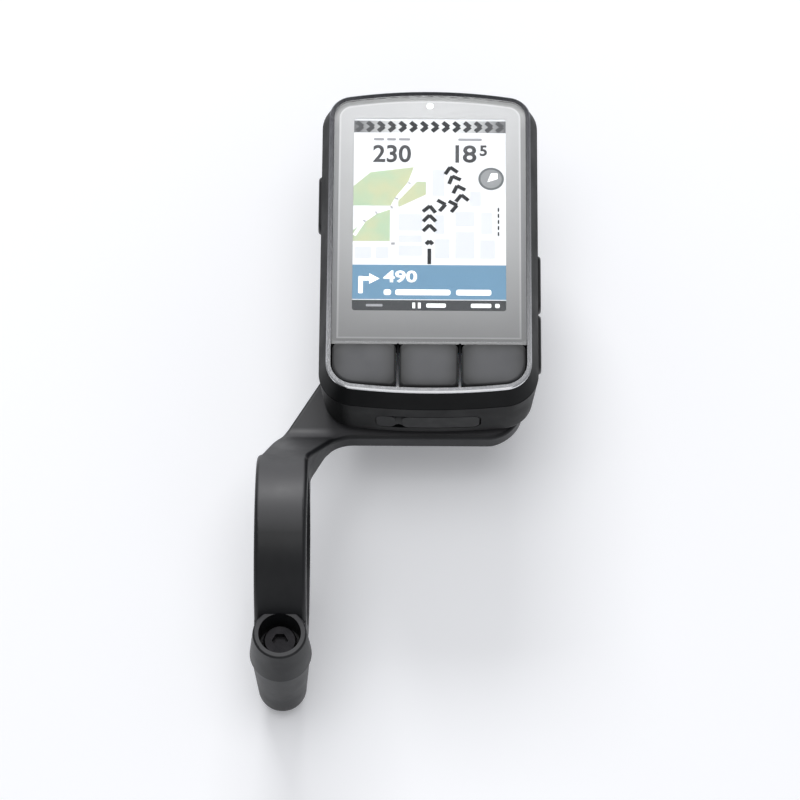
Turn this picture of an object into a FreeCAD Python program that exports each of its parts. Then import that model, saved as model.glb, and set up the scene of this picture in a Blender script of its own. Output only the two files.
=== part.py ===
"""Cycling computer on its out-front handlebar mount, as a parametric assembly.

Millimetres. The origin is the centre of the handlebar clamp: X runs along the bar to the
rider's right, Y points forward and Z up. The head unit lies level in front of the bar.
"""
import FreeCAD
import Part
import Sketcher
import math
import os

ZERO_TURN = FreeCAD.Rotation()
UP = FreeCAD.Vector(0, 0, 1)

# Driving dimensions: name, millimetres (or degrees), what it is.
SIZES = [
    ("unit_x", 31.0, "twist axis of the head unit, along the bar"),
    ("unit_y", 66.0, "twist axis of the head unit, forward of the bar"),
    ("unit_z", 1.9, "datum level of the head unit"),
    ("case_base", -3.4, "underside of the rear case, from the datum level"),
    ("case_width", 47.3, "head unit, side to side at the parting line"),
    ("case_length", 77.3, "head unit, front to rear at the parting line"),
    ("front_crown", 113.0, "radius of the bowed front end"),
    ("rear_crown", 147.0, "radius of the bowed rear end"),
    ("front_corner", 6.8, "corner radius at the front"),
    ("rear_corner", 7.8, "corner radius at the rear"),
    ("parting", 11.5, "height of the seam between rear case and front frame"),
    ("draft_inset", 1.3, "how far the rear case narrows towards its floor"),
    ("draft_angle", 5.0, "lean of the rear case's walls in degrees, which gives that inset"),
    ("frame_inset", 1.6, "how far the front frame narrows towards the face"),
    ("frame_top", 16.2, "height of the front frame under the bezel trim"),
    ("rim_top", 16.9, "height of the bezel trim"),
    ("glass_top", 17.0, "height of the cover glass"),
    ("glass_thick", 1.1, "cover glass thickness"),
    ("wall", 1.7, "moulded wall thickness"),
    ("floor_level", -0.9, "inside of the rear case's floor, from the datum level"),
    ("bottom_round", 3.0, "rounding of the rear case's lower edge"),
    ("trim_wide", 1.0, "width of the bezel trim"),
    ("gap", 0.1, "assembly gap round the glass"),
    ("key_gap", 0.3, "running gap round the front keys"),
    ("glass_edge", -25.1, "rear edge of the cover glass"),
    ("key_front", -25.5, "front edge of the front keys"),
    ("key_base", 15.2, "underside of the front keys"),
    ("key_crown", 60.0, "radius of the keys' bowed tops"),
    ("key_corner", 1.2, "corner radius of the keys in plan"),
    ("key_edge", 0.45, "rounding round the keys' tops"),
    ("divider_x", 6.65, "distance of each key divider from the middle"),
    ("divider_wide", 0.5, "key divider width"),
    ("screw_x", 15.5, "case screws, either side of the middle"),
    ("screw_y", 30.5, "case screws, ahead of and behind the middle"),
    ("boss_round", 2.5, "screw boss radius"),
    ("board_base", 5.7, "underside of the main board"),
    ("board_thick", 1.0, "main board thickness"),
    ("board_inset", 4.3, "main board edge, in from the parting outline"),
    ("side_key_long", 13.8, "side key length"),
    ("side_key_tall", 4.0, "side key height"),
    ("side_key_level", 7.9, "height of the side keys' middles"),
    ("side_key_out", 24.3, "outer face of the side keys from the middle"),
    ("side_seat", 21.3, "flat seat inside the wall for the side keys' flanges"),
    ("power_y", 13.0, "middle of the power button"),
    ("upper_y", -6.4, "middle of the up button"),
    ("lower_y", -21.0, "middle of the down button"),
    ("port_x", 2.7, "middle of the charging port"),
    ("port_level", 4.0, "height of the charging port's middle"),
    ("cover_long", 16.6, "port cover width"),
    ("cover_tall", 5.8, "port cover height"),
    ("recess_y", 36.3, "flat floor of the port recess, behind the middle"),
    ("foot_round", 12.7, "radius of the quarter-turn foot"),
    ("foot_tall", 3.5, "height of the quarter-turn foot"),
    ("tab_round", 15.4, "radius over the foot's two tabs"),
    ("tab_wide", 11.0, "width of each tab"),
    ("tab_thick", 1.6, "thickness of each tab"),
    ("socket_round", 18.5, "outside radius of the twist socket"),
    ("mount_top", -1.8, "top face of the mount's platform"),
    ("mount_low", -12.0, "lowest face of the platform, on the arm's side"),
    ("platform_half", 20.5, "half the platform's width"),
    ("platform_rear", 28.0, "rear edge of the platform"),
    ("bar_round", 15.9, "radius of a 31.8 mm handlebar"),
    ("band_round", 20.7, "outside radius of the clamp band"),
    ("band_wide", 11.0, "clamp band width along the bar"),
    ("split_upper", -1.5, "lower face of the upper jaw"),
    ("split_lower", -2.1, "upper face of the lower jaw"),
    ("hinge_y", 19.0, "hinge pin, forward of the bar's centre"),
    ("hinge_z", -6.0, "hinge pin, relative to the bar's centre"),
    ("pin_round", 1.5, "hinge pin radius"),
    ("knuckle_round", 3.6, "hinge knuckle radius"),
    ("knuckle_half", 2.0, "half the width of the middle knuckle"),
    ("bolt_y", -23.0, "clamp bolt, behind the bar's centre"),
    ("boss_wide", 6.6, "radius of the upper bolt boss at the split"),
    ("boss_rim", 5.7, "radius of the upper bolt boss at its rim"),
    ("boss_top", 9.0, "rim of the upper bolt boss"),
    ("lower_boss", 6.25, "radius of the lower bolt boss at the split"),
    ("lower_end", 5.2, "radius of the lower bolt boss's round end"),
    ("lower_level", -19.8, "middle of the lower bolt boss's round end"),
    ("bolt_seat", 1.9, "floor of the bolt's counterbore"),
    ("counterbore", 4.5, "counterbore radius"),
]

doc = FreeCAD.newDocument("CyclingComputer")
sheet = doc.addObject("Spreadsheet::Sheet", "Sizes")
for row, (alias, number, note) in enumerate(SIZES, start=1):
    sheet.set(f"A{row}", note)
    sheet.set(f"B{row}", str(number))
    sheet.setAlias(f"B{row}", alias)
doc.recompute()


class Length:
    """A length that knows both its value and the spreadsheet formula behind it."""

    def __init__(self, value, formula):
        self.value = value
        self.formula = formula

    def __add__(self, other):
        other = length(other)
        return Length(self.value + other.value, f"({self.formula} + {other.formula})")

    def __sub__(self, other):
        other = length(other)
        return Length(self.value - other.value, f"({self.formula} - {other.formula})")

    def __rsub__(self, other):
        return length(other) - self

    def __mul__(self, factor):
        return Length(self.value * factor, f"({self.formula} * {factor})")

    def __neg__(self):
        return Length(-self.value, f"(0 - {self.formula})")

    __radd__ = __add__
    __rmul__ = __mul__


def length(number):
    """Take a plain number or a Length as a Length."""
    if isinstance(number, Length):
        return number
    return Length(float(number), str(float(number)))


class Sheet:
    """The spreadsheet's cells, each as a Length."""


size = Sheet()
for alias, number, note in SIZES:
    setattr(size, alias, Length(float(sheet.get(alias)), f"Sizes.{alias}"))

UNIT = (size.unit_x, size.unit_y, size.unit_z)
FRAME = (0, 0, 0)
CORNERS = [(x, y) for x in (-size.screw_x, size.screw_x) for y in (-size.screw_y, size.screw_y)]
pieces = []


def bind(thing, name, amount):
    """Drive one property from the spreadsheet."""
    thing.setExpression(name, length(amount).formula)


def move(thing, place, turn=ZERO_TURN):
    """Turn an object, then put its place under the spreadsheet's control."""
    thing.Placement = FreeCAD.Placement(FreeCAD.Vector(*[length(c).value for c in place]), turn)
    for letter, amount in zip("xyz", place):
        bind(thing, f"Placement.Base.{letter}", amount)


def new_body(label, origin=UNIT, keep=True):
    """Start a body; keep says that it is a sub-part to be written out."""
    piece = doc.addObject("PartDesign::Body", label)
    piece.Label = label
    piece.AllowCompound = True
    move(piece, origin)
    if keep:
        pieces.append(piece)
    return piece


def primitive(piece, kind, place, turn=ZERO_TURN, **sizes):
    """Add or subtract a box, cylinder, cone, sphere or prism in a body."""
    feature = piece.newObject(f"PartDesign::{kind}", f"{piece.Label}_{kind}")
    for name, amount in sizes.items():
        bind(feature, name, amount)
    move(feature, place, turn)
    doc.recompute([feature])
    return feature


def box(piece, middle, wide, deep, low, high, cut=False):
    """A box centred on middle in plan, between two heights."""
    x, y = length(middle[0]), length(middle[1])
    kind = "SubtractiveBox" if cut else "AdditiveBox"
    wide, deep, low = length(wide), length(deep), length(low)
    place = (x - wide * 0.5, y - deep * 0.5, low)
    return primitive(piece, kind, place, Length=wide, Width=deep, Height=high - low)


def post(piece, middle, radius, low, high, cut=False):
    """An upright cylinder between two heights."""
    kind = "SubtractiveCylinder" if cut else "AdditiveCylinder"
    low = length(low)
    place = (middle[0], middle[1], low)
    return primitive(piece, kind, place, Radius=radius, Height=high - low)


def new_sketch(piece, plane, offset):
    """A sketch on one of the body's origin planes, pushed out along the plane's normal."""
    drawing = piece.newObject("Sketcher::SketchObject", f"{piece.Label}_sketch")
    support = [item for item in piece.Origin.OriginFeatures if item.Role == plane][0]
    drawing.AttachmentSupport = [(support, "")]
    drawing.MapMode = "FlatFace"
    for letter, amount in zip("xyz", offset):
        bind(drawing, f"AttachmentOffset.Base.{letter}", amount)
    return drawing


def point(x, y):
    return FreeCAD.Vector(x, y, 0)


def on_circle(centre, radius, degrees):
    angle = math.radians(degrees)
    return centre + FreeCAD.Vector(radius * math.cos(angle), radius * math.sin(angle), 0)


def arc(centre, radius, start, end):
    """An arc drawn anticlockwise between two angles in degrees."""
    circle = Part.Circle(centre, UP, radius)
    return Part.ArcOfCircle(circle, math.radians(start), math.radians(end))


def fix(drawing, kind, *where, amount=None):
    """Add a constraint, driven by the spreadsheet where it has a length."""
    if amount is None:
        drawing.addConstraint(Sketcher.Constraint(kind, *where))
        return
    index = drawing.addConstraint(Sketcher.Constraint(kind, *where, abs(length(amount).value)))
    bind(drawing, f"Constraints[{index}]", amount)


def close_up(drawing, loop):
    """Join a loop's pieces end to start, smoothly wherever an arc is one of the two."""
    for here, after in zip(loop, loop[1:] + loop[:1]):
        both_lines = all(drawing.Geometry[i].TypeId == "Part::GeomLineSegment" for i in (here, after))
        fix(drawing, "Coincident" if both_lines else "Tangent", here, 2, after, 1)


def outline(drawing, inset, front=None, rear=None):
    """The head unit's outline, a given distance in from the parting line's.

    Both ends are bowed and join the straight sides through round corners. A front or rear
    edge given as a distance from the middle is cut straight across there instead.
    """
    half = size.case_width * 0.5 - inset
    ends = []
    for crown, corner in ((size.front_crown, size.front_corner), (size.rear_crown, size.rear_corner)):
        to_corner = crown.value - corner.value
        corner_x = size.case_width.value / 2 - corner.value
        centre_y = size.case_length * 0.5 - crown
        corner_y = centre_y.value + math.sqrt(to_corner ** 2 - corner_x ** 2)
        lean = math.degrees(math.acos(corner_x / to_corner))
        ends.append((crown - inset, corner - inset, centre_y, corner_x, corner_y, lean))
    crown, corner, centre_y, corner_x, corner_y, lean = ends[0]
    high = corner_y if front is None else length(front).value
    low = -ends[1][4] if rear is None else length(rear).value
    x = half.value
    start = drawing.GeometryCount
    right = drawing.addGeometry(Part.LineSegment(point(x, low), point(x, high)))
    loop = [right]
    if front is None:
        loop.append(drawing.addGeometry(arc(point(corner_x, corner_y), corner.value, 0, lean)))
        middle = point(0, centre_y.value)
        loop.append(drawing.addGeometry(arc(middle, crown.value, lean, 180 - lean)))
        loop.append(drawing.addGeometry(arc(point(-corner_x, corner_y), corner.value, 180 - lean, 180)))
    else:
        loop.append(drawing.addGeometry(Part.LineSegment(point(x, high), point(-x, high))))
    left = drawing.addGeometry(Part.LineSegment(point(-x, high), point(-x, low)))
    loop.append(left)
    back_crown, back_corner, back_y, back_x, back_corner_y, back_lean = ends[1]
    if rear is None:
        loop.append(drawing.addGeometry(
            arc(point(-back_x, -back_corner_y), back_corner.value, 180, 180 + back_lean)))
        middle = point(0, -back_y.value)
        loop.append(drawing.addGeometry(
            arc(middle, back_crown.value, 180 + back_lean, 360 - back_lean)))
        loop.append(drawing.addGeometry(
            arc(point(back_x, -back_corner_y), back_corner.value, 360 - back_lean, 360)))
    else:
        loop.append(drawing.addGeometry(Part.LineSegment(point(-x, low), point(x, low))))
    close_up(drawing, loop)
    fix(drawing, "Vertical", right)
    fix(drawing, "Vertical", left)
    fix(drawing, "DistanceX", -1, 1, right, 1, amount=half)
    fix(drawing, "DistanceX", left, 1, -1, 1, amount=half)
    if front is None:
        first, second, third = start + 1, start + 2, start + 3
        fix(drawing, "Equal", first, third)
        fix(drawing, "PointOnObject", second, 3, -2)
        fix(drawing, "Radius", first, amount=corner)
        fix(drawing, "Radius", second, amount=crown)
        fix(drawing, "DistanceY", second, 3, -1, 1, amount=-centre_y)
    else:
        across = start + 1
        fix(drawing, "Horizontal", across)
        straight_edge(drawing, across, length(front))
    if rear is None:
        first, second, third = left + 1, left + 2, left + 3
        fix(drawing, "Equal", first, third)
        fix(drawing, "PointOnObject", second, 3, -2)
        fix(drawing, "Radius", first, amount=back_corner)
        fix(drawing, "Radius", second, amount=back_crown)
        fix(drawing, "DistanceY", -1, 1, second, 3, amount=-back_y)
    else:
        across = left + 1
        fix(drawing, "Horizontal", across)
        straight_edge(drawing, across, length(rear))


def straight_edge(drawing, line, level):
    """Hold a level line at its distance from the origin, which may be behind it."""
    if level.value < 0:
        fix(drawing, "DistanceY", line, 1, -1, 1, amount=-level)
    else:
        fix(drawing, "DistanceY", -1, 1, line, 1, amount=level)


def rounded_rectangle(drawing, wide, tall, corner):
    """A rectangle about the sketch's origin with four equal round corners."""
    wide, tall, corner = length(wide) * 0.5, length(tall) * 0.5, length(corner)
    x, y, r = wide.value, tall.value, corner.value
    centres = [point(x - r, y - r), point(r - x, y - r), point(r - x, r - y), point(x - r, r - y)]
    loop = []
    for turn, (centre, following) in enumerate(zip(centres, centres[1:] + centres[:1])):
        loop.append(drawing.addGeometry(arc(centre, r, 90 * turn, 90 * turn + 90)))
        start = on_circle(centre, r, 90 * turn + 90)
        end = on_circle(following, r, 90 * turn + 90)
        loop.append(drawing.addGeometry(Part.LineSegment(start, end)))
    close_up(drawing, loop)
    top, left, bottom, right = loop[1::2]
    for line in (top, bottom):
        fix(drawing, "Horizontal", line)
    for line in (left, right):
        fix(drawing, "Vertical", line)
    for other in loop[2::2]:
        fix(drawing, "Equal", loop[0], other)
    fix(drawing, "Radius", loop[0], amount=corner)
    fix(drawing, "DistanceX", -1, 1, right, 1, amount=wide)
    fix(drawing, "DistanceX", left, 1, -1, 1, amount=wide)
    fix(drawing, "DistanceY", -1, 1, top, 1, amount=tall)
    fix(drawing, "DistanceY", bottom, 1, -1, 1, amount=tall)


def rounded_polygon(drawing, corners):
    """A closed outline from (x, y, corner radius) points, given anticlockwise."""
    ends = []
    for number, (x, y, radius) in enumerate(corners):
        here = point(x, y)
        before = point(*corners[number - 1][:2])
        after = point(*corners[(number + 1) % len(corners)][:2])
        back = (before - here).normalize()
        ahead = (after - here).normalize()
        if radius == 0:
            ends.append((here, None, here))
            continue
        half_angle = back.getAngle(ahead) / 2
        reach = radius / math.tan(half_angle)
        inward = (back + ahead).normalize()
        middle = here + inward * (radius / math.sin(half_angle) - radius)
        ends.append((here + back * reach, middle, here + ahead * reach))
    for (start, middle, end), following in zip(ends, ends[1:] + ends[:1]):
        if middle is not None:
            drawing.addGeometry(Part.Arc(start, middle, end))
        drawing.addGeometry(Part.LineSegment(end, following[0]))
    for index in range(drawing.GeometryCount):
        fix(drawing, "Block", index)


def extrude(piece, drawing, amount, kind="Pad", back=False):
    """Pad or pocket a sketch and return the feature."""
    drawing.recompute()
    feature = piece.newObject(f"PartDesign::{kind}", f"{piece.Label}_{kind}")
    feature.Profile = drawing
    feature.Reversed = back
    bind(feature, "Length", amount)
    doc.recompute([feature])
    return feature


def loft(piece, lower, upper, kind="AdditiveLoft"):
    """A straight-sided loft between two sketches."""
    feature = piece.newObject(f"PartDesign::{kind}", f"{piece.Label}_{kind}")
    feature.Profile = lower
    feature.Sections = [upper]
    feature.Ruled = True
    doc.recompute([feature])
    return feature


def dress(piece, feature, kind, edges, amount):
    """Round or bevel chosen edges of a feature."""
    finish = piece.newObject(f"PartDesign::{kind}", f"{piece.Label}_{kind}")
    finish.Base = (feature, edges)
    bind(finish, "Radius" if kind == "Fillet" else "Size", amount)
    doc.recompute([finish])
    return finish


def edges_where(feature, test):
    """Names of a feature's edges whose bounding box passes a test."""
    shape = feature.Shape
    return [f"Edge{i}" for i, edge in enumerate(shape.Edges, 1) if test(edge.BoundBox)]


def level_edges(feature, height):
    """Names of the edges that lie level at one height."""
    goal = length(height).value
    return edges_where(feature, lambda b: abs(b.ZMin - goal) < 1e-4 and abs(b.ZMax - goal) < 1e-4)


def flat_outline(piece, inset, low, high, **ends):
    """A slab of the head unit's outline between two heights."""
    drawing = new_sketch(piece, "XY_Plane", (0, 0, low))
    outline(drawing, inset, **ends)
    return extrude(piece, drawing, high - low)


def boolean(label, kind, base, tools, keep=True):
    """Cut, fuse or intersect whole objects."""
    if kind == "Part::Cut":
        result = doc.addObject(kind, label)
        result.Base = base
        result.Tool = tools[0]
    else:
        result = doc.addObject(kind, label)
        result.Shapes = [base] + tools
    result.Label = label
    result.Refine = True
    if keep:
        pieces.append(result)
    doc.recompute([result])
    return result


def solid(kind, label, place, turn=ZERO_TURN, **sizes):
    """A loose Part primitive for a boolean or a group."""
    thing = doc.addObject(f"Part::{kind}", label)
    for name, amount in sizes.items():
        bind(thing, name, amount)
    move(thing, place, turn)
    doc.recompute([thing])
    return thing


def group(label, members):
    """Separate solids that share one node."""
    bundle = doc.addObject("Part::Compound", label)
    bundle.Label = label
    bundle.Links = members
    doc.recompute([bundle])
    pieces.append(bundle)
    return bundle


# ---------------------------------------------------------------- head unit: case

def case_blank(piece):
    """The rear case's outer form: it narrows to a floor with a rounded edge."""
    slab = flat_outline(piece, 0, size.case_base, size.parting)
    brim = [f"Face{i}" for i, face in enumerate(slab.Shape.Faces, 1)
            if face.BoundBox.ZMin > size.parting.value - 1e-6]
    sides = [f"Face{i}" for i, face in enumerate(slab.Shape.Faces, 1) if face.BoundBox.ZLength > 1]
    draft = piece.newObject("PartDesign::Draft", piece.Label + "_draft")
    draft.Base = (slab, sides)
    draft.NeutralPlane = (slab, brim)
    draft.Reversed = True
    bind(draft, "Angle", size.draft_angle)
    doc.recompute([draft])
    return dress(piece, draft, "Fillet", level_edges(draft, size.case_base), size.bottom_round)


def side_sketch(piece, middle_y, out):
    """A sketch facing sideways, centred on a side key."""
    return new_sketch(piece, "YZ_Plane", (middle_y, size.side_key_level, out))


def rear_sketch(piece, middle_x, back):
    """A sketch facing the rider, centred at the charging port's height."""
    return new_sketch(piece, "XZ_Plane", (middle_x, size.port_level, back))


SIDE_KEYS = {
    "power_button": (-1, size.power_y),
    "up_button": (1, size.upper_y),
    "down_button": (1, size.lower_y),
}
SIDE_ROUND = 1.9
PORT_BLOCK_WIDE = 25.0
PORT_BLOCK_DEEP = 1.5
SEAL_OUT = 0.45
SEAL_WIDE = 0.8
SEAL_DEEP = 0.6
RIM_BEVEL = 0.15


def rear_case():
    case = new_body("rear_case")
    case_blank(case)
    inner_floor = new_sketch(case, "XY_Plane", (0, 0, size.floor_level))
    outline(inner_floor, size.draft_inset + size.wall + 0.8)
    inner_brim = new_sketch(case, "XY_Plane", (0, 0, size.parting))
    outline(inner_brim, size.wall)
    loft(case, inner_floor, inner_brim, "SubtractiveLoft")
    groove = new_sketch(case, "XY_Plane", (0, 0, size.parting))
    outline(groove, SEAL_OUT)
    outline(groove, SEAL_OUT + SEAL_WIDE)
    extrude(case, groove, SEAL_DEEP, "Pocket")
    for corner in CORNERS:
        post(case, corner, size.boss_round, size.floor_level - 0.4, size.board_base)
    box(case, (0, -size.recess_y + PORT_BLOCK_DEEP * 0.5), PORT_BLOCK_WIDE, PORT_BLOCK_DEEP, size.floor_level - 0.4, 10.6)
    for side, middle in SIDE_KEYS.values():
        seat_long = size.side_key_long + 0.8
        seat_tall = size.side_key_tall + 2.0
        seat_low = size.side_key_level - seat_tall * 0.5
        box(case, (side * (size.side_seat - 1.5), middle), 3.0, seat_long, seat_low,
            seat_low + seat_tall, cut=True)
        opening = side_sketch(case, middle, 0)
        rounded_rectangle(opening, size.side_key_long + 0.4, size.side_key_tall + 0.4, SIDE_ROUND + 0.2)
        extrude(case, opening, size.case_width, "Pocket", back=side > 0)
    recess = rear_sketch(case, 0, size.recess_y)
    rounded_rectangle(recess, size.cover_long + 6.1, size.cover_tall + 0.5, 1.9)
    extrude(case, recess, 5, "Pocket", back=True)
    box(case, (size.port_x, -size.recess_y), 9.4, 5, size.port_level - 1.75, size.port_level + 1.75,
        cut=True)
    for corner in CORNERS:
        post(case, corner, 2.0, size.case_base - 0.5, size.case_base + 1.3, cut=True)
        post(case, corner, 1.1, size.case_base, size.board_base + 1, cut=True)
    for x, y in FOOT_SCREWS:
        post(case, (x, y), 0.96, size.case_base - 0.5, size.floor_level - 0.5, cut=True)
    post(case, VENT, 0.6, size.case_base - 0.5, size.floor_level + 1, cut=True)
    brim_edges = edges_where(case.Tip, lambda b: abs(b.ZMin - size.parting.value) < 1e-4
                             and max(b.XMax, -b.XMin, b.YMax, -b.YMin) > size.case_width.value / 2 - 0.01)
    dress(case, case.Tip, "Chamfer", brim_edges, RIM_BEVEL)


VENT = (-9.0, 30.0)
FOOT_SCREWS = [(x, y) for x in (-6.4, 6.4) for y in (-6.4, 6.4)]


def case_gasket():
    gasket = new_body("case_gasket")
    ring = new_sketch(gasket, "XY_Plane", (0, 0, size.parting - SEAL_DEEP))
    outline(ring, SEAL_OUT)
    outline(ring, SEAL_OUT + SEAL_WIDE)
    extrude(gasket, ring, SEAL_DEEP)


FACE_INSET = size.frame_inset + size.trim_wide + size.gap
TRAY_WIDE = 37.2
TRAY_LONG = 52.6
TRAY_Y = 6.0
TRAY_FLOOR = 13.2
WELL_FLOOR = 13.5
FRAME_ROOF = 12.4
LIGHT_Y = 33.6
DOME_Y = -30.6
DOMES = [(-12.0, DOME_Y), (0, DOME_Y), (12.0, DOME_Y)]
DOME_ROUND = 2.0
GLASS_SEAT = size.glass_top - size.glass_thick


def front_frame():
    frame = new_body("front_frame")
    lower = new_sketch(frame, "XY_Plane", (0, 0, size.parting))
    outline(lower, 0)
    upper = new_sketch(frame, "XY_Plane", (0, 0, size.frame_top))
    outline(upper, size.frame_inset)
    loft(frame, lower, upper)
    face = new_sketch(frame, "XY_Plane", (0, 0, size.frame_top))
    outline(face, FACE_INSET)
    extrude(frame, face, size.frame_top - GLASS_SEAT, "Pocket")
    well = new_sketch(frame, "XY_Plane", (0, 0, size.frame_top))
    outline(well, FACE_INSET, front=size.key_front + 0.3)
    extrude(frame, well, size.frame_top - WELL_FLOOR, "Pocket")
    box(frame, (0, TRAY_Y), TRAY_WIDE, TRAY_LONG, TRAY_FLOOR, size.glass_top, cut=True)
    hollow = new_sketch(frame, "XY_Plane", (0, 0, size.parting))
    outline(hollow, size.wall + 0.3)
    extrude(frame, hollow, FRAME_ROOF - size.parting, "Pocket", back=True)
    for corner in CORNERS:
        post(frame, corner, size.boss_round, size.board_base + size.board_thick, FRAME_ROOF + 0.2)
        post(frame, corner, 0.96, 5, FRAME_ROOF + 0.5, cut=True)
    for x, y in DOMES:
        post(frame, (x, y), DOME_ROUND + 0.5, 11, WELL_FLOOR + 1, cut=True)
    box(frame, (0, FLEX_Y), FLEX_WIDE + 1, 1.4, 11, TRAY_FLOOR + 1, cut=True)
    post(frame, (0, LIGHT_Y), 0.9, 11, size.frame_top + 1, cut=True)
    brim_edges = edges_where(frame.Tip, lambda b: abs(b.ZMax - size.parting.value) < 1e-4
                             and max(b.XMax, -b.XMin, b.YMax, -b.YMin) > size.case_width.value / 2 - 0.01)
    dress(frame, frame.Tip, "Chamfer", brim_edges, RIM_BEVEL)


FLEX_Y = -15.0
FLEX_WIDE = 14.0
TRIM_BEVEL = 0.25


def bezel_trim():
    trim = new_body("bezel_trim")
    ring = new_sketch(trim, "XY_Plane", (0, 0, size.frame_top))
    outline(ring, size.frame_inset)
    outline(ring, size.frame_inset + size.trim_wide)
    rim = extrude(trim, ring, size.rim_top - size.frame_top)
    outside = size.case_width.value / 2 - size.frame_inset.value - 0.3
    outer = edges_where(rim, lambda b: abs(b.ZMin - size.rim_top.value) < 1e-4
                        and (max(b.XMax, -b.XMin) > outside or
                             max(b.YMax, -b.YMin) > size.case_length.value / 2 - 1.9))
    dress(trim, rim, "Chamfer", outer, TRIM_BEVEL)
    for side in (-1, 1):
        bar_rear = -36.35
        bar_front = -25.35
        bar_middle = (side * size.divider_x, (bar_rear + bar_front) / 2)
        box(trim, bar_middle, size.divider_wide, bar_front - bar_rear, size.frame_top, 16.75)
        web_rear = -35.8
        web_middle = (side * size.divider_x, (web_rear + bar_front) / 2)
        box(trim, web_middle, size.divider_wide, bar_front - web_rear, 14.4, size.frame_top)


def cover_glass():
    glass = new_body("cover_glass")
    plate = flat_outline(glass, FACE_INSET, GLASS_SEAT, size.glass_top, rear=size.glass_edge)
    dress(glass, plate, "Chamfer", level_edges(plate, size.glass_top), 0.12)


def display():
    panel = new_body("lcd_panel")
    box(panel, (0, TRAY_Y), 36.6, 52.0, 14.2, 15.8)
    light = new_body("backlight")
    box(light, (0, TRAY_Y), 36.6, 52.0, TRAY_FLOOR, 14.2)
    ribbon = new_body("display_flex")
    box(ribbon, (0, FLEX_Y), FLEX_WIDE, 0.3, size.board_base + size.board_thick + 0.9, TRAY_FLOOR)
    box(ribbon, (0, FLEX_Y), FLEX_WIDE + 2, 2.4, size.board_base + size.board_thick,
        size.board_base + size.board_thick + 1.0)
    pipe = new_body("light_pipe")
    post(pipe, (0, LIGHT_Y), 0.8, size.board_base + size.board_thick + 0.8, GLASS_SEAT)


# ---------------------------------------------------------------- head unit: keys

def front_keys():
    """Three keys share one bowed slab; straight cuts at the dividers part them."""
    edge = size.divider_x + size.divider_wide * 0.5 + 0.2
    reach = size.case_width * 0.5
    spans = {"left_key": (-reach, -edge), "centre_key": (-edge + size.divider_wide + 0.4,
                                                       edge - size.divider_wide - 0.4),
             "right_key": (edge, reach)}
    for name, (start, end) in spans.items():
        blank = new_body(name + "_blank", keep=False)
        slab = flat_outline(blank, FACE_INSET + size.key_gap, size.key_base, size.glass_top + 0.6,
                            front=size.key_front)
        cutter = solid("Box", name + "_span", (size.unit_x + start, size.unit_y - size.case_length,
                                               size.unit_z + size.key_base),
                       Length=end - start, Width=size.case_length, Height=4)
        crown_low = size.glass_top + 0.3 - size.key_crown
        crown = solid("Cylinder", name + "_crown",
                      (size.unit_x - reach, size.unit_y + KEY_MIDDLE, size.unit_z + crown_low),
                      FreeCAD.Rotation(FreeCAD.Vector(0, 1, 0), 90),
                      Radius=size.key_crown, Height=size.case_width)
        doc.recompute()
        raw = boolean(name + "_raw", "Part::MultiCommon", blank, [cutter, crown], keep=False)
        corners = round_edges(name + "_corners", raw, cut_corners(raw, start, end), size.key_corner)
        pieces.append(round_edges(name, corners, top_rim(corners), size.key_edge))


KEY_MIDDLE = -30.6


def cut_corners(raw, start, end):
    """Numbers of the upright edges where a key's straight cuts meet its other sides."""
    cuts = [size.unit_x.value + length(cut).value for cut in (start, end)]
    front = (size.unit_y + size.key_front).value
    numbers = []
    for number, edge in enumerate(raw.Shape.Edges, 1):
        b = edge.BoundBox
        upright = b.ZLength > 0.5 and b.XLength < 1e-4 and b.YLength < 1e-4
        if upright and (min(abs(b.XMin - cut) for cut in cuts) < 1e-3 or abs(b.YMin - front) < 1e-3):
            numbers.append(number)
    return numbers


def top_rim(raw):
    """Numbers of the edges round a key's bowed top."""
    top = max(raw.Shape.Faces, key=lambda face: face.CenterOfMass.z)
    return [number for number, edge in enumerate(raw.Shape.Edges, 1)
            if any(edge.isSame(rim) for rim in top.Edges)]


def round_edges(label, base, numbers, radius):
    """Round some edges of a loose shape."""
    rounded = doc.addObject("Part::Fillet", label)
    rounded.Label = label
    rounded.Base = base
    rounded.Edges = [(number, radius.value, radius.value) for number in numbers]
    doc.recompute([rounded])
    return rounded


def key_parts():
    membrane = new_body("key_membrane")
    box(membrane, (0, DOME_Y), 36.0, 8.6, WELL_FLOOR, 14.1)
    for spot in DOMES:
        post(membrane, spot, 2.4, 14.0, 14.7)
    board = new_body("key_board")
    box(board, (0, DOME_Y), 26.0, 7.0, 11.5, 12.3)
    domes = [solid("Cylinder", "key_dome", (size.unit_x + x, size.unit_y + y, size.unit_z + 12.3),
                   Radius=DOME_ROUND, Height=0.9) for x, y in DOMES]
    group("key_domes", domes)


def side_key(name, side, middle):
    """A side key: a round-ended cap and, inside the wall, its wider flange."""
    key = new_body(name)
    cap = side_sketch(key, middle, side * (size.side_seat - 0.2))
    rounded_rectangle(cap, size.side_key_long, size.side_key_tall, SIDE_ROUND)
    body = extrude(key, cap, size.side_key_out - size.side_seat + 0.2, back=side < 0)
    out = size.side_key_out.value
    outer = edges_where(body, lambda b: min(abs(b.XMin), abs(b.XMax)) > out - 1e-3)
    dress(key, body, "Fillet", outer, 0.7)
    flange = side_sketch(key, middle, side * (size.side_seat - 1.0))
    rounded_rectangle(flange, size.side_key_long + 0.6, size.side_key_tall + 1.6, 2.0)
    extrude(key, flange, 0.8, back=side < 0)


# ---------------------------------------------------------------- head unit: inside

TETHER_LONG = 4.0
COVER_HINGE_X = size.port_x - size.cover_long * 0.5 - 0.55


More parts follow.
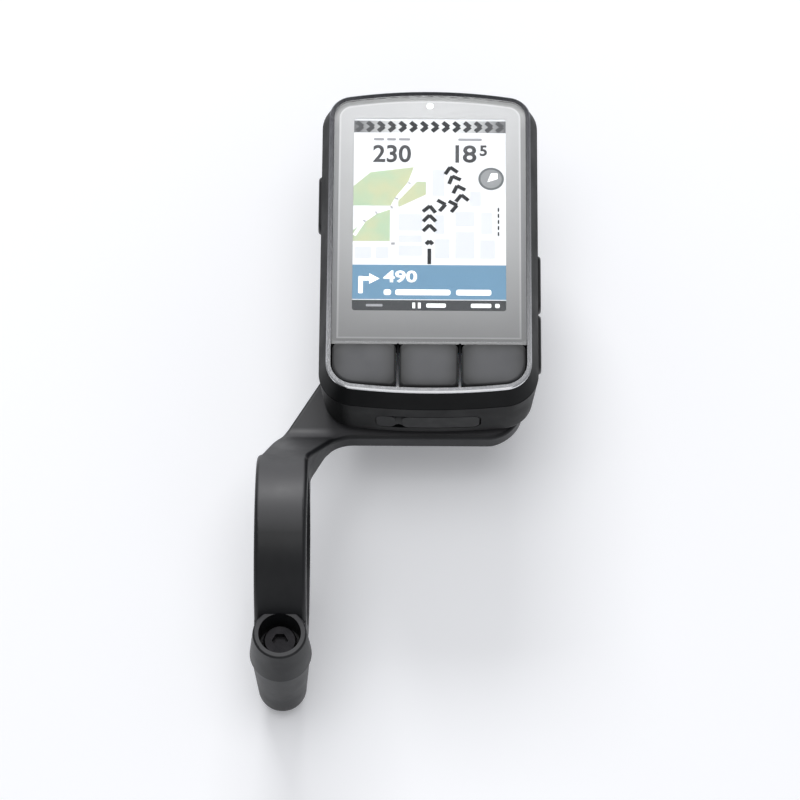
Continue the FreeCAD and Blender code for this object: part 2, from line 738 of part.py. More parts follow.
def port_cover():
    """The cover is a slice of the case wall itself, with a plug behind it."""
    blank = new_body("cover_wall", keep=False)
    case_blank(blank)
    flap = new_body("cover_flap", keep=False)
    face = rear_sketch(flap, size.port_x, size.recess_y)
    rounded_rectangle(face, size.cover_long, size.cover_tall, 1.6)
    extrude(flap, face, 4)
    doc.recompute()
    skin = boolean("cover_skin", "Part::MultiCommon", blank, [flap], keep=False)
    plug = solid("Box", "cover_plug", (size.unit_x + size.port_x - 4.1,
                                       size.unit_y - size.recess_y - 0.1,
                                       size.unit_z + size.port_level - 1.2),
                 Length=8.2, Width=1.5, Height=2.4)
    boolean("port_cover", "Part::MultiFuse", skin, [plug])

    wall = new_body("anchor_wall", keep=False)
    case_blank(wall)
    tab = new_body("anchor_tab", keep=False)
    face = rear_sketch(tab, COVER_HINGE_X - 1.05 - TETHER_LONG * 0.5, size.recess_y)
    rounded_rectangle(face, TETHER_LONG, size.cover_tall, 1.4)
    extrude(tab, face, 4)
    doc.recompute()
    boolean("port_cover_anchor", "Part::MultiCommon", wall, [tab])


def electronics():
    board_top = size.board_base + size.board_thick
    board = new_body("main_board")
    flat_outline(board, size.board_inset, size.board_base, board_top)
    for corner in CORNERS:
        post(board, corner, 1.3, 0, size.glass_top, cut=True)
    shield = new_body("shield_can")
    box(shield, (-4, 4), 24, 22, board_top, board_top + 1.8)
    antenna = new_body("gps_antenna")
    box(antenna, (0, 24), 15, 12, board_top, board_top + 2.5)
    buzzer = new_body("buzzer")
    post(buzzer, (-11, -20), 4.5, board_top, board_top + 2.0)
    led = new_body("status_led")
    box(led, (0, LIGHT_Y - 0.1), 1.6, 1.0, board_top, board_top + 0.6)
    switches = []
    for side, middle in SIDE_KEYS.values():
        switches.append(solid("Box", "side_switch",
                              (size.unit_x + side * 17.6 - 1.5, size.unit_y + middle - 3,
                               size.unit_z + board_top),
                              Length=3.0, Width=6, Height=1.6))
    group("side_switches", switches)
    socket = new_body("usb_socket")
    box(socket, (size.port_x, -31.1), 8.9, 7.2, size.board_base - 3.2, size.board_base)
    box(socket, (size.port_x, -32.1), 8.3, 7.2, size.board_base - 2.9, size.board_base - 0.3, cut=True)
    vent = new_body("vent_membrane")
    post(vent, VENT, 2.0, size.floor_level, size.floor_level + 0.2)


def power_supply():
    pad = new_body("battery_pad")
    box(pad, (0, -1), 30, 42, size.floor_level, size.floor_level + 0.35)
    cell = new_body("battery")
    pouch = box(cell, (0, -1), 34, 46, size.floor_level + 0.35, size.floor_level + 5.55)
    upright = edges_where(pouch, lambda b: b.ZLength > 5 and b.XLength < 0.1)
    dress(cell, pouch, "Fillet", upright, 2.0)
    lead = new_body("battery_lead")
    box(lead, (0, 26), 7, 4, size.board_base - 2.0, size.board_base)
    for side in (-1.5, 1.5):
        primitive(lead, "AdditiveCylinder", (side, 22, size.board_base - 1.5),
                  FreeCAD.Rotation(FreeCAD.Vector(1, 0, 0), -90), Radius=0.5, Height=2.5)


def case_fasteners():
    screws = []
    for x, y in CORNERS:
        place = (size.unit_x + x, size.unit_y + y, size.unit_z + size.case_base + 0.1)
        head = solid("Cylinder", "screw_head", place, Radius=1.9, Height=1.2)
        drive = solid("Prism", "screw_drive", (place[0], place[1], place[2] - 0.5),
                      Circumradius=0.85, Height=1.2)
        shank = solid("Cylinder", "screw_shank", (place[0], place[1], place[2] + 1.2),
                      Radius=0.95, Height=14.7)
        blank = boolean("screw_blank", "Part::MultiFuse", head, [shank], keep=False)
        screws.append(boolean("case_screw", "Part::Cut", blank, [drive], keep=False))
    group("case_screws", screws)


def lock_foot():
    """The quarter-turn foot: a round pad whose two side tabs hook under the socket's lips."""
    foot_low = size.unit_z + size.case_base - size.foot_tall
    disc = solid("Cylinder", "foot_disc", (size.unit_x, size.unit_y, foot_low),
                 Radius=size.foot_round, Height=size.foot_tall)
    sweep = solid("Cylinder", "tab_sweep", (size.unit_x, size.unit_y, foot_low),
                  Radius=size.tab_round, Height=size.tab_thick)
    bar = solid("Box", "tab_bar",
                (size.unit_x - size.tab_round, size.unit_y - size.tab_wide * 0.5, foot_low),
                Length=size.tab_round * 2, Width=size.tab_wide, Height=size.tab_thick)
    tabs = boolean("foot_tabs", "Part::MultiCommon", sweep, [bar], keep=False)
    blank = boolean("foot_blank", "Part::MultiFuse", disc, [tabs], keep=False)
    holes = []
    screws = []
    for x, y in FOOT_SCREWS:
        place = (size.unit_x + x, size.unit_y + y, foot_low)
        holes.append(solid("Cylinder", "foot_hole", place, Radius=1.0, Height=size.foot_tall))
        holes.append(solid("Cone", "foot_sink", place, Radius1=2.0, Radius2=1.0, Height=1.2))
        cone = solid("Cone", "sunk_head", place, Radius1=2.0, Radius2=0.95, Height=1.2)
        shank = solid("Cylinder", "sunk_shank", (place[0], place[1], place[2] + 1.0),
                      Radius=0.95, Height=4.2)
        drive = solid("Prism", "sunk_drive", (place[0], place[1], place[2] - 0.2),
                      Circumradius=0.85, Height=1.0)
        screw = boolean("sunk_blank", "Part::MultiFuse", cone, [shank], keep=False)
        screws.append(boolean("foot_screw", "Part::Cut", screw, [drive], keep=False))
    cutter = boolean("foot_holes", "Part::MultiFuse", holes[0], holes[1:], keep=False)
    boolean("lock_foot", "Part::Cut", blank, [cutter])
    group("foot_screws", screws)


# ---------------------------------------------------------------- mount

LIP_UNDER = -3.15
TRACK_LOW = -5.25
SOCKET_LOW = -6.8
SOCKET_SCREWS = [(-9.0, 0.0), (9.0, 0.0)]
FROM_AXIS = (size.unit_x, size.unit_y, 0)
ALONG_BAR = FreeCAD.Rotation(FreeCAD.Vector(0, 1, 0), 90)


def twist_socket():
    """A dish with a track for the foot's tabs and two gaps in its lip to let them in."""
    dish = new_body("twist_socket", FROM_AXIS)
    post(dish, (0, 0), size.socket_round, SOCKET_LOW, size.mount_top)
    post(dish, (0, 0), size.foot_round + 0.3, TRACK_LOW, 0, cut=True)
    post(dish, (0, 0), size.tab_round + 0.3, TRACK_LOW, LIP_UNDER, cut=True)
    entry = size.tab_round * 2 + 0.6
    box(dish, (0, 0), size.tab_wide + 0.8, entry, LIP_UNDER - 0.1, 0, cut=True)
    for x, y in SOCKET_SCREWS:
        post(dish, (x, y), 1.3, -8, -5, cut=True)
        primitive(dish, "SubtractiveCone", (x, y, TRACK_LOW - 1.2), Radius1=1.2, Radius2=2.5,
                  Height=1.25)
    screws = []
    for x, y in SOCKET_SCREWS:
        place = (size.unit_x + x, size.unit_y + y, TRACK_LOW - 1.2)
        head = solid("Cone", "socket_head", place, Radius1=1.15, Radius2=2.4, Height=1.2)
        shank = solid("Cylinder", "socket_shank", (place[0], place[1], place[2] - 2.2),
                      Radius=1.15, Height=2.3)
        drive = solid("Prism", "socket_drive", (place[0], place[1], place[2] + 0.4),
                      Circumradius=1.0, Height=1.5)
        blank = boolean("socket_blank", "Part::MultiFuse", head, [shank], keep=False)
        screws.append(boolean("socket_screw", "Part::Cut", blank, [drive], keep=False))
    group("socket_screws", screws)


def band(label, high, low):
    """A slice of the clamp band with softened edges, between two heights."""
    half = size.band_wide * 0.5
    drum = new_body(label + "_drum", (-half, 0, 0), keep=False)
    ring = primitive(drum, "AdditiveCylinder", (0, 0, 0), ALONG_BAR,
                     Radius=size.band_round, Height=size.band_wide)
    rims = edges_where(ring, lambda b: b.XLength < 1e-3 and b.YLength > 10)
    dress(drum, ring, "Fillet", rims, 1.0)
    slab = solid("Box", label + "_slab", (-20, -30, low), Length=40, Width=60, Height=high - low)
    doc.recompute()
    return boolean(label + "_band", "Part::MultiCommon", drum, [slab], keep=False)


def bore(label):
    return solid("Cylinder", label + "_bore", (-40, 0, 0), ALONG_BAR, Radius=size.bar_round, Height=90)


def arm_plan():
    """Seen from above: the arm leaves the band, sweeps right and widens into the platform."""
    half = size.band_wide.value / 2
    left = size.unit_x.value - size.platform_half.value
    right = size.unit_x.value + size.platform_half.value
    front = size.unit_y.value + size.platform_half.value
    rear = size.platform_rear.value
    nose = size.platform_half.value - 0.05
    return [(half, 8, 0), (half, 17.5, 5), (11.5, rear, 6), (right, rear, 8), (right, front, nose),
            (left, front, nose), (left, 47, 12), (-2.4, 25, 16), (-half, 15, 10), (-half, 8, 0)]


ARM_LEAN = 40.0


def arm_side():
    """Seen from the side: the arm slopes down off the band, then runs level."""
    lean = math.radians(ARM_LEAN)
    touch_y = size.band_round.value * math.cos(lean)
    touch_z = size.band_round.value * math.sin(lean)
    top = size.mount_top.value
    low = size.mount_low.value
    bend = touch_y + (touch_z - top) * math.tan(lean)
    return [(9, 9, 0), (9, size.split_upper.value, 0), (23, size.split_upper.value, 2),
            (36, low, 8), (90, low, 0), (90, top, 0), (bend, top, 4), (touch_y, touch_z, 0)]


def tilted_slab(label, corner_points):
    """A big slab whose top face passes through three points."""
    first, second, third = [FreeCAD.Vector(*p) for p in corner_points]
    normal = (second - first).cross(third - first).normalize()
    turn = FreeCAD.Rotation(UP, normal)
    reach = 150
    slab = doc.addObject("Part::Box", label)
    slab.Length = reach
    slab.Width = reach
    slab.Height = 30
    low_corner = turn.multVec(FreeCAD.Vector(-reach / 2, -reach / 2, -30))
    slab.Placement = FreeCAD.Placement(first + low_corner, turn)
    doc.recompute([slab])
    return slab


UNDER_SLOPE = [(8, 60, -12.2), (52, 60, -8.8), (8, 90, -12.2)]
REAR_SLOPE = [(12, 28, -12.6), (50, 28, -4.6), (31, 46, -11.5)]


def mount_arm():
    plan = new_body("arm_plan", FRAME, keep=False)
    drawing = new_sketch(plan, "XY_Plane", (0, 0, -20))
    rounded_polygon(drawing, arm_plan())
    extrude(plan, drawing, 45)
    side = new_body("arm_side", FRAME, keep=False)
    profile = new_sketch(side, "YZ_Plane", (0, 0, -10))
    rounded_polygon(profile, arm_side())
    extrude(side, profile, 70)
    doc.recompute()
    arm = boolean("arm_rough", "Part::MultiCommon", plan, [side], keep=False)
    arm = boolean("arm_under", "Part::Cut", arm, [tilted_slab("under_slope", UNDER_SLOPE)], keep=False)
    arm = boolean("arm_rear", "Part::Cut", arm, [tilted_slab("rear_slope", REAR_SLOPE)], keep=False)
    arm = soften_arm(arm)
    boss = new_body("upper_boss", (0, size.bolt_y, 0), keep=False)
    rim = primitive(boss, "AdditiveCone", (0, 0, size.split_upper), Radius1=size.boss_wide,
                    Radius2=size.boss_rim, Height=size.boss_top - size.split_upper)
    dress(boss, rim, "Fillet", level_edges(rim, size.boss_top), 0.5)
    web = solid("Box", "upper_web", (-size.band_wide * 0.5, size.bolt_y, size.split_upper),
                Length=size.band_wide, Width=8, Height=8)
    lug = solid("Cylinder", "hinge_lug", (-size.knuckle_half, size.hinge_y, size.hinge_z),
                ALONG_BAR, Radius=size.knuckle_round, Height=size.knuckle_half * 2)
    lug_web = solid("Box", "lug_web",
                    (-size.knuckle_half, size.hinge_y - size.knuckle_round, size.hinge_z),
                    Length=size.knuckle_half * 2, Width=size.knuckle_round * 2,
                    Height=size.split_upper - size.hinge_z + 1)
    doc.recompute()
    whole = boolean("arm_whole", "Part::MultiFuse", band("upper", 25, size.split_upper),
                    [arm, boss, web, lug, lug_web], keep=False)
    pocket = solid("Cylinder", "socket_pocket", (size.unit_x, size.unit_y, SOCKET_LOW),
                   Radius=size.socket_round, Height=10)
    tools = [bore("upper"), pocket,
             solid("Cylinder", "bolt_hole", (0, size.bolt_y, -5), Radius=2.2, Height=10),
             solid("Cylinder", "counterbore", (0, size.bolt_y, size.bolt_seat),
                   Radius=size.counterbore, Height=20),
             solid("Cylinder", "pin_hole", (-size.knuckle_half - 1, size.hinge_y, size.hinge_z),
                   ALONG_BAR, Radius=size.pin_round, Height=size.knuckle_half * 2 + 2)]
    for x, y in SOCKET_SCREWS:
        tools.append(solid("Cylinder", "socket_thread", (size.unit_x + x, size.unit_y + y, -9.2),
                           Radius=1.16, Height=3))
    cutter = boolean("arm_cuts", "Part::MultiFuse", tools[0], tools[1:], keep=False)
    boolean("mount_arm", "Part::Cut", whole, [cutter])


ARM_EDGE = 0.8


def soften_arm(arm):
    """Round the edges of the arm's and platform's top face, and of the slope up to the band."""
    band_front = 15.0
    numbers = []
    for number, edge in enumerate(arm.Shape.Edges, 1):
        span = edge.BoundBox
        upright = span.ZLength > 0.9 * edge.Length
        on_top = span.ZMin > size.mount_top.value - 0.1
        under_neck = span.ZMax < size.split_upper.value + 0.3 and span.YMax < 24
        if span.YMin > band_front and on_top and not upright and not under_neck:
            numbers.append(number)
    soft = doc.addObject("Part::Fillet", "arm_soft")
    soft.Base = arm
    soft.Edges = [(number, ARM_EDGE, ARM_EDGE) for number in numbers]
    doc.recompute([soft])
    return soft


def lower_jaw():
    """The lower half of the clamp, with the fork of the hinge and the threaded boss."""
    cone = solid("Cone", "lower_cone", (0, size.bolt_y, size.lower_level), Radius1=size.lower_end,
                 Radius2=size.lower_boss, Height=size.split_lower - size.lower_level)
    dome = solid("Sphere", "lower_dome", (0, size.bolt_y, size.lower_level), Radius=size.lower_end)
    web = solid("Box", "lower_web", (-4.5, size.bolt_y, -13), Length=9, Width=10,
                Height=size.split_lower + 13)
    fork = solid("Cylinder", "fork", (-size.band_wide * 0.5, size.hinge_y, size.hinge_z),
                 ALONG_BAR, Radius=size.knuckle_round, Height=size.band_wide)
    whole = boolean("jaw_whole", "Part::MultiFuse", band("lower", size.split_lower, -30),
                    [cone, dome, web, fork], keep=False)
    slot_half = size.knuckle_half + 0.3
    tools = [bore("lower"),
             solid("Cylinder", "slot_round", (-slot_half, size.hinge_y, size.hinge_z), ALONG_BAR,
                   Radius=size.knuckle_round + 0.4, Height=slot_half * 2),
             solid("Box", "slot_box", (-slot_half, size.hinge_y - 5, size.hinge_z),
                   Length=slot_half * 2, Width=12, Height=8),
             solid("Cylinder", "fork_hole", (-10, size.hinge_y, size.hinge_z), ALONG_BAR,
                   Radius=size.pin_round + 0.05, Height=20),
             solid("Cylinder", "insert_hole", (0, size.bolt_y, -11.2), Radius=3.0, Height=8),
             solid("Cylinder", "screw_way", (0, size.bolt_y, -13), Radius=2.4, Height=14)]
    cutter = boolean("jaw_cuts", "Part::MultiFuse", tools[0], tools[1:], keep=False)
    boolean("lower_jaw", "Part::Cut", whole, [cutter])


def clamp_fasteners():
    insert = new_body("clamp_insert", (0, size.bolt_y, 0))
    post(insert, (0, 0), 3.0, -11.2, -3.2)
    post(insert, (0, 0), 2.0, -12, 0, cut=True)
    washer = new_body("clamp_washer", (0, size.bolt_y, 0))
    post(washer, (0, 0), 3.9, size.bolt_seat, size.bolt_seat + 0.5)
    post(washer, (0, 0), 2.1, 0, 5, cut=True)
    bolt = new_body("clamp_bolt", (0, size.bolt_y, size.bolt_seat + 0.5))
    head = post(bolt, (0, 0), 3.5, 0, 2.8)
    dress(bolt, head, "Chamfer", level_edges(head, 2.8), 0.3)
    post(bolt, (0, 0), 1.95, -5.2, 0)
    post(bolt, (0, 0), 1.62, -10.4, 0)
    hexagon = primitive(bolt, "SubtractivePrism", (0, 0, 1.2), Circumradius=1.74, Height=3)
    hexagon.Polygon = 6
    pin = new_body("hinge_pin", (-size.band_wide * 0.5, size.hinge_y, size.hinge_z))
    rod = primitive(pin, "AdditiveCylinder", (0, 0, 0), ALONG_BAR,
                    Radius=size.pin_round, Height=size.band_wide)
    dress(pin, rod, "Chamfer", edges_where(rod, lambda b: b.XLength < 1e-3 and b.YLength > 1), 0.2)


rear_case()
case_gasket()
front_frame()
bezel_trim()
cover_glass()
display()
front_keys()
key_parts()
for name, (side, middle) in SIDE_KEYS.items():
    side_key(name, side, middle)
port_cover()
electronics()
power_supply()
case_fasteners()
lock_foot()
twist_socket()
mount_arm()
lower_jaw()
clamp_fasteners()

doc.recompute()
faults = [f"{item.Label}: {item.State}" for item in doc.Objects
          if "Invalid" in item.State or "Error" in item.State]
for piece in pieces:
    shape = piece.Shape
    if shape.isNull() or not shape.isValid() or not shape.Solids:
        faults.append(f"{piece.Label}: no valid solid")
if faults:
    raise RuntimeError("; ".join(faults))

os.makedirs("parts", exist_ok=True)
for piece in pieces:
    piece.Shape.exportStep(f"parts/{piece.Label}.step")
    print(f"{piece.Label}: {len(piece.Shape.Solids)} solid(s), {piece.Shape.Volume:.1f} mm3")
print(len(pieces), "nodes")
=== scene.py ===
# %% [markdown]
# # A cycling computer on its out-front mount
# The computer is a small sealed box with a glass face. It locks into a plastic mount that is
# clamped round the handlebar. The hard parts come ready made from the CAD frame. This lesson gives
# each of them a believable finish, then adds what the CAD parts lack: the picture on the screen,
# the printed border under the glass, the rubber strap of the port cover and other fine details.
# Everything is in metres and stays in the place that the frame gives it.

import math

import bpy
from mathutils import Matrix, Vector


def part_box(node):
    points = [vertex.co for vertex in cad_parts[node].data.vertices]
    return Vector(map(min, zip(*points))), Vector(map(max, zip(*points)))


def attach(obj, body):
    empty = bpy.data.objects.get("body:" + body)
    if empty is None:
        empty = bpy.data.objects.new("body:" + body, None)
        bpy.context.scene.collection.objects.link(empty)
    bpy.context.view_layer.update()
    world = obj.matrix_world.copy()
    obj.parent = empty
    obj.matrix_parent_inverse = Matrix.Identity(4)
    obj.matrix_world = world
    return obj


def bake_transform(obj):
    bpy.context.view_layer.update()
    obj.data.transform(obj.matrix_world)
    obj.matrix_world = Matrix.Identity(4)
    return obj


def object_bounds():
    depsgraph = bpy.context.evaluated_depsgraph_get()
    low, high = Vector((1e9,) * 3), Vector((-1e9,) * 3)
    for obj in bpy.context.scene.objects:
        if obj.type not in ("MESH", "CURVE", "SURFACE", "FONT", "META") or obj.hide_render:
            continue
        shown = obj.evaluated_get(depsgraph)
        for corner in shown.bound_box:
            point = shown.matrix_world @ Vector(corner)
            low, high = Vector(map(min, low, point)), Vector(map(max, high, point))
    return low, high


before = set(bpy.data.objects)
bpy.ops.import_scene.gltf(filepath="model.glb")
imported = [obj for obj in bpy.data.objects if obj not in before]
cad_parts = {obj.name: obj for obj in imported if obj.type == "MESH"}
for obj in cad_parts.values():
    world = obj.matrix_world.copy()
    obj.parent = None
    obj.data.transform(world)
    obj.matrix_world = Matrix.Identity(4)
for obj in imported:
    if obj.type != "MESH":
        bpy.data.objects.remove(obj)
cad_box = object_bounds()
MM = 0.001
print("CAD nodes:", len(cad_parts))
print("CAD box:", [round(v, 4) for corner in cad_box for v in corner])

# %% [markdown]
# ## Colour, and one way to add a node
# Shaders work in linear light, but colours are easier to choose as the usual six-digit codes. One
# function changes one to the other. A second one adds a node, sets its sockets and links it, so a
# finish reads like a short recipe.


# %% Colour and node helpers
def colour(code):
    """A six-digit colour code as a linear RGBA colour."""
    parts = [int(code[i : i + 2], 16) / 255 for i in (0, 2, 4)]
    return [p / 12.92 if p <= 0.04045 else ((p + 0.055) / 1.055) ** 2.4 for p in parts] + [1.0]


def add_node(finish, kind, values=None, links=None, **options):
    """Adds one node: options first, then socket values, then links into its sockets."""
    node = finish.node_tree.nodes.new(kind)
    for option, choice in options.items():
        setattr(node, option, choice)
    for socket, value in (values or {}).items():
        node.inputs[socket].default_value = value
    for socket, source in (links or {}).items():
        finish.node_tree.links.new(source, node.inputs[socket])
    return node


def new_finish(name, **sockets):
    """A material whose shader has these fixed values, such as Metallic=1.0."""
    finish = bpy.data.materials.new(name)
    finish.use_nodes = True
    shader = finish.node_tree.nodes["Principled BSDF"]
    for socket, value in sockets.items():
        shader.inputs[socket.replace("_", " ")].default_value = value
    return finish


def feed(finish, socket, source):
    """Links a pattern to one socket of the finish's shader."""
    finish.node_tree.links.new(source, finish.node_tree.nodes["Principled BSDF"].inputs[socket])


print("white in linear light:", colour("ffffff"))

# %% [markdown]
# ## Patterns at their real size
# A pattern looks right only at its real scale: moulded grain is a few tenths of a millimetre, a
# thumb smudge is about ten. So each helper takes its size in millimetres and works out the texture
# scale from it. All of them read Object coordinates, which stay fixed to the part.


# %% Pattern helpers
def place(finish, stretch=(1, 1, 1), turn=(0, 0, 0)):
    """Object coordinates, stretched or turned for patterns with a direction."""
    spot = add_node(finish, "ShaderNodeTexCoord").outputs["Object"]
    if stretch == (1, 1, 1) and turn == (0, 0, 0):
        return spot
    return add_node(
        finish, "ShaderNodeMapping", {"Scale": stretch, "Rotation": turn}, {"Vector": spot}
    ).outputs["Vector"]


def speckle(finish, size_mm, detail=2.0, stretch=(1, 1, 1), turn=(0, 0, 0)):
    """Soft random pattern whose blotches are about size_mm across."""
    return add_node(
        finish,
        "ShaderNodeTexNoise",
        {"Scale": 1000 / size_mm, "Detail": detail, "Roughness": 0.55},
        {"Vector": place(finish, stretch, turn)},
    ).outputs["Fac"]


def between(finish, source, low, high, start=0.3, end=0.7):
    """A pattern turned into a number that runs from low to high."""
    return add_node(
        finish,
        "ShaderNodeMapRange",
        {"From Min": start, "From Max": end, "To Min": low, "To Max": high},
        {"Value": source},
    ).outputs["Result"]


def shades(finish, source, *stops):
    """A pattern turned into a colour; each stop is (position, code)."""
    ramp = add_node(finish, "ShaderNodeValToRGB", None, {"Fac": source})
    while len(ramp.color_ramp.elements) < len(stops):
        ramp.color_ramp.elements.new(0.5)
    for element, (position, code) in zip(ramp.color_ramp.elements, stops):
        element.position = position
        element.color = colour(code)
    return ramp.outputs["Color"]


def forward(finish):
    """How far forward a point of the part lies, in metres."""
    spot = add_node(finish, "ShaderNodeSeparateXYZ", None, {"Vector": place(finish)})
    return spot.outputs["Y"]


def off_centre(finish, middle):
    """How far a point of the part lies to either side of this place, in metres."""
    spot = add_node(finish, "ShaderNodeSeparateXYZ", None, {"Vector": place(finish)})
    aside = add_node(
        finish, "ShaderNodeMath", {1: middle}, {0: spot.outputs["X"]}, operation="SUBTRACT"
    )
    return add_node(
        finish, "ShaderNodeMath", None, {0: aside.outputs[0]}, operation="ABSOLUTE"
    ).outputs[0]


def relief(finish, source, depth_mm, on_top_of=None):
    """Turns a pattern into bumps of this depth."""
    links = {"Height": source}
    if on_top_of:
        links["Normal"] = on_top_of
    return add_node(
        finish, "ShaderNodeBump", {"Strength": 1.0, "Distance": depth_mm * MM}, links
    ).outputs["Normal"]


print("a 0.3 mm grain has a texture scale of", round(1000 / 0.3))

# %% [markdown]
# ## Moulded plastics
# The case is a black polycarbonate blend moulded in a spark-eroded tool, so it has a very fine
# grain and a low satin shine that varies a little where hands rub it. The mount is stiffer nylon
# with glass fibre in it: a slightly greyer black, with a coarser grain and faint flow streaks
# along the arm. The same three layers make both: grain as relief, handling as roughness, and a
# slight drift of colour. The mount's faces that look up are then painted a paler grey, a painted
# highlight of the light from above.


# %% Moulded plastics
def moulded(name, dark, light, grain_mm, grain_depth_mm, shine, streak=(1, 1, 1), **sockets):
    """Grained plastic, streak being how much the drift of colour is drawn out along each axis."""
    finish = new_finish(name, **sockets)
    drift = speckle(finish, 7.0, 3.0, streak)
    feed(finish, "Base Color", shades(finish, drift, (0.3, dark), (0.7, light)))
    rubbed = speckle(finish, 9.0, 4.0)
    feed(finish, "Roughness", between(finish, rubbed, shine[0], shine[1]))
    grain = speckle(finish, grain_mm, 3.0)
    ripple = relief(finish, drift, grain_depth_mm * 1.5)
    feed(finish, "Normal", relief(finish, grain, grain_depth_mm, ripple))
    return finish


# The way the painted light comes from: up, and a little from ahead of the bicycle.
PAINTED_LIGHT_FROM = (0.0, 0.33, 0.944)


def painted_top_light(finish, code, start, end):
    """Painted highlight: fades to this colour on the faces that look up; start and end are cosines
    to the light.
    """
    facing = add_node(
        finish,
        "ShaderNodeVectorMath",
        {1: PAINTED_LIGHT_FROM},
        {0: add_node(finish, "ShaderNodeTexCoord").outputs["Normal"]},
        operation="DOT_PRODUCT",
    ).outputs["Value"]
    shader = finish.node_tree.nodes["Principled BSDF"]
    links = {
        0: between(finish, facing, 0.0, 1.0, start, end),
        6: shader.inputs["Base Color"].links[0].from_socket,
    }
    mixed = add_node(finish, "ShaderNodeMix", {7: colour(code)}, links, data_type="RGBA")
    feed(finish, "Base Color", mixed.outputs[2])


case_black = moulded(
    "case_black", "090a0b", "0f1011", 0.28, 0.006, (0.42, 0.56), Specular_IOR_Level=0.12
)
mount_black = moulded(
    "mount_black", "17181a", "202123", 0.4, 0.010, (0.36, 0.5), (1, 0.3, 1), Specular_IOR_Level=0.28
)
# Painted highlight: the mount's upward faces turn a paler grey.
painted_top_light(mount_black, "59595b", 0.84, 1.0)
side_key_black = moulded("side_key_black", "101112", "17181a", 0.22, 0.004, (0.3, 0.42))
chip_black = moulded("chip_black", "17171a", "202024", 0.12, 0.003, (0.5, 0.65))
print("moulded finishes:", case_black.name, mount_black.name, side_key_black.name, chip_black.name)

# %% [markdown]
# ## Front keys
# The three front keys are a matte grey that is soft to the touch. Their colour is painted paler in
# the middle and darker at the rounded edges, painted light and shade of a crowned top. A little
# sheen and a fine grain keep them from looking like painted metal, and the shine drifts a little
# where thumbs have polished them.


# %% Key grey
def key_finish(name, node):
    """Soft grey plastic with painted shade: paler in the middle of the key than round its edge."""
    low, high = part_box(node)
    middle, half = (low + high) / 2, (high - low) / 2
    finish = new_finish(name, Sheen_Weight=0.15)
    spot = add_node(
        finish,
        "ShaderNodeMapping",
        {
            "Location": (-middle.x / half.x, -middle.y / half.y, 0),
            "Scale": (1 / half.x, 1 / half.y, 0),
        },
        {"Vector": place(finish)},
    ).outputs["Vector"]
    apart = add_node(finish, "ShaderNodeSeparateXYZ", None, {"Vector": spot})
    powers = [
        add_node(
            finish, "ShaderNodeMath", {1: 4.0}, {0: apart.outputs[axis]}, operation="POWER"
        ).outputs[0]
        for axis in ("X", "Y")
    ]
    edge = add_node(
        finish, "ShaderNodeMath", None, {0: powers[0], 1: powers[1]}, operation="ADD"
    ).outputs[0]
    # Painted shade: darker towards the key's edges, with a painted highlight in the middle.
    painted_key_shade = shades(finish, edge, (0.0, "57585b"), (0.3, "4a4b4d"), (0.95, "1d1e1f"))
    feed(finish, "Base Color", painted_key_shade)
    rubbed = speckle(finish, 5.0, 4.0)
    feed(finish, "Roughness", between(finish, rubbed, 0.42, 0.6))
    feed(finish, "Normal", relief(finish, speckle(finish, 0.2, 3.0), 0.004))
    return finish


left_key_grey = key_finish("left_key_grey", "left_key")
centre_key_grey = key_finish("centre_key_grey", "centre_key")
right_key_grey = key_finish("right_key_grey", "right_key")
print("key finishes:", left_key_grey.name, centre_key_grey.name, right_key_grey.name)

# %% [markdown]
# ## Rubber and silicone
# The port cover and the case gasket are black rubber: nearly no shine, dust in the pores and a
# faint blotchy bloom. The membrane under the keys is a milky silicone that lets some light in.

# %% Rubbers
seal_rubber = new_finish(
    "seal_rubber", Sheen_Weight=0.08, Sheen_Roughness=0.6, Specular_IOR_Level=0.25
)
bloom = speckle(seal_rubber, 2.5, 4.0)
feed(seal_rubber, "Base Color", shades(seal_rubber, bloom, (0.35, "101112"), (0.75, "1a1b1d")))
feed(seal_rubber, "Roughness", between(seal_rubber, bloom, 0.62, 0.8))
feed(seal_rubber, "Normal", relief(seal_rubber, speckle(seal_rubber, 0.18, 2.0), 0.006))

membrane_rubber = new_finish("membrane_rubber", Subsurface_Weight=0.3, Subsurface_Scale=0.0015)
milk = speckle(membrane_rubber, 1.5, 3.0)
feed(membrane_rubber, "Base Color", shades(membrane_rubber, milk, (0.3, "8b9094"), (0.7, "9ba0a3")))
feed(membrane_rubber, "Roughness", between(membrane_rubber, milk, 0.45, 0.6))
print("rubbers:", seal_rubber.name, membrane_rubber.name)

# %% [markdown]
# ## Metals
# The bright line round the face is a polished ring with very fine brushing. The bolt is steel with
# a black oxide coat, dull and slightly brown where it is worn. Pins and screws are plain steel,
# the thread insert is brass, and the shield can and the socket are tin plate with a dull bloom.
# All come from one recipe: metallic, a brushed or turned pattern for roughness and small scratches.
# The ring's colour carries a painted reflection: brightest at the rider's end, falling to a dark
# steel grey at the far end. The bars between the keys are part of it and are coloured darker, with
# painted shade from pale at the ring to near black by the glass, so its colour changes with the
# place on the part.


# %% Metals
def metal(name, dark, light, shine, scratch_mm, depth_mm, stretch=(1, 1, 1), **sockets):
    """Bare metal, stretch being how the scratches are drawn out along each axis."""
    finish = new_finish(name, Metallic=1.0, **sockets)
    tarnish = speckle(finish, 3.0, 4.0)
    feed(finish, "Base Color", shades(finish, tarnish, (0.3, dark), (0.7, light)))
    scratch = speckle(finish, scratch_mm, 3.0, stretch)
    feed(finish, "Roughness", between(finish, scratch, shine[0], shine[1]))
    feed(finish, "Normal", relief(finish, scratch, depth_mm))
    return finish


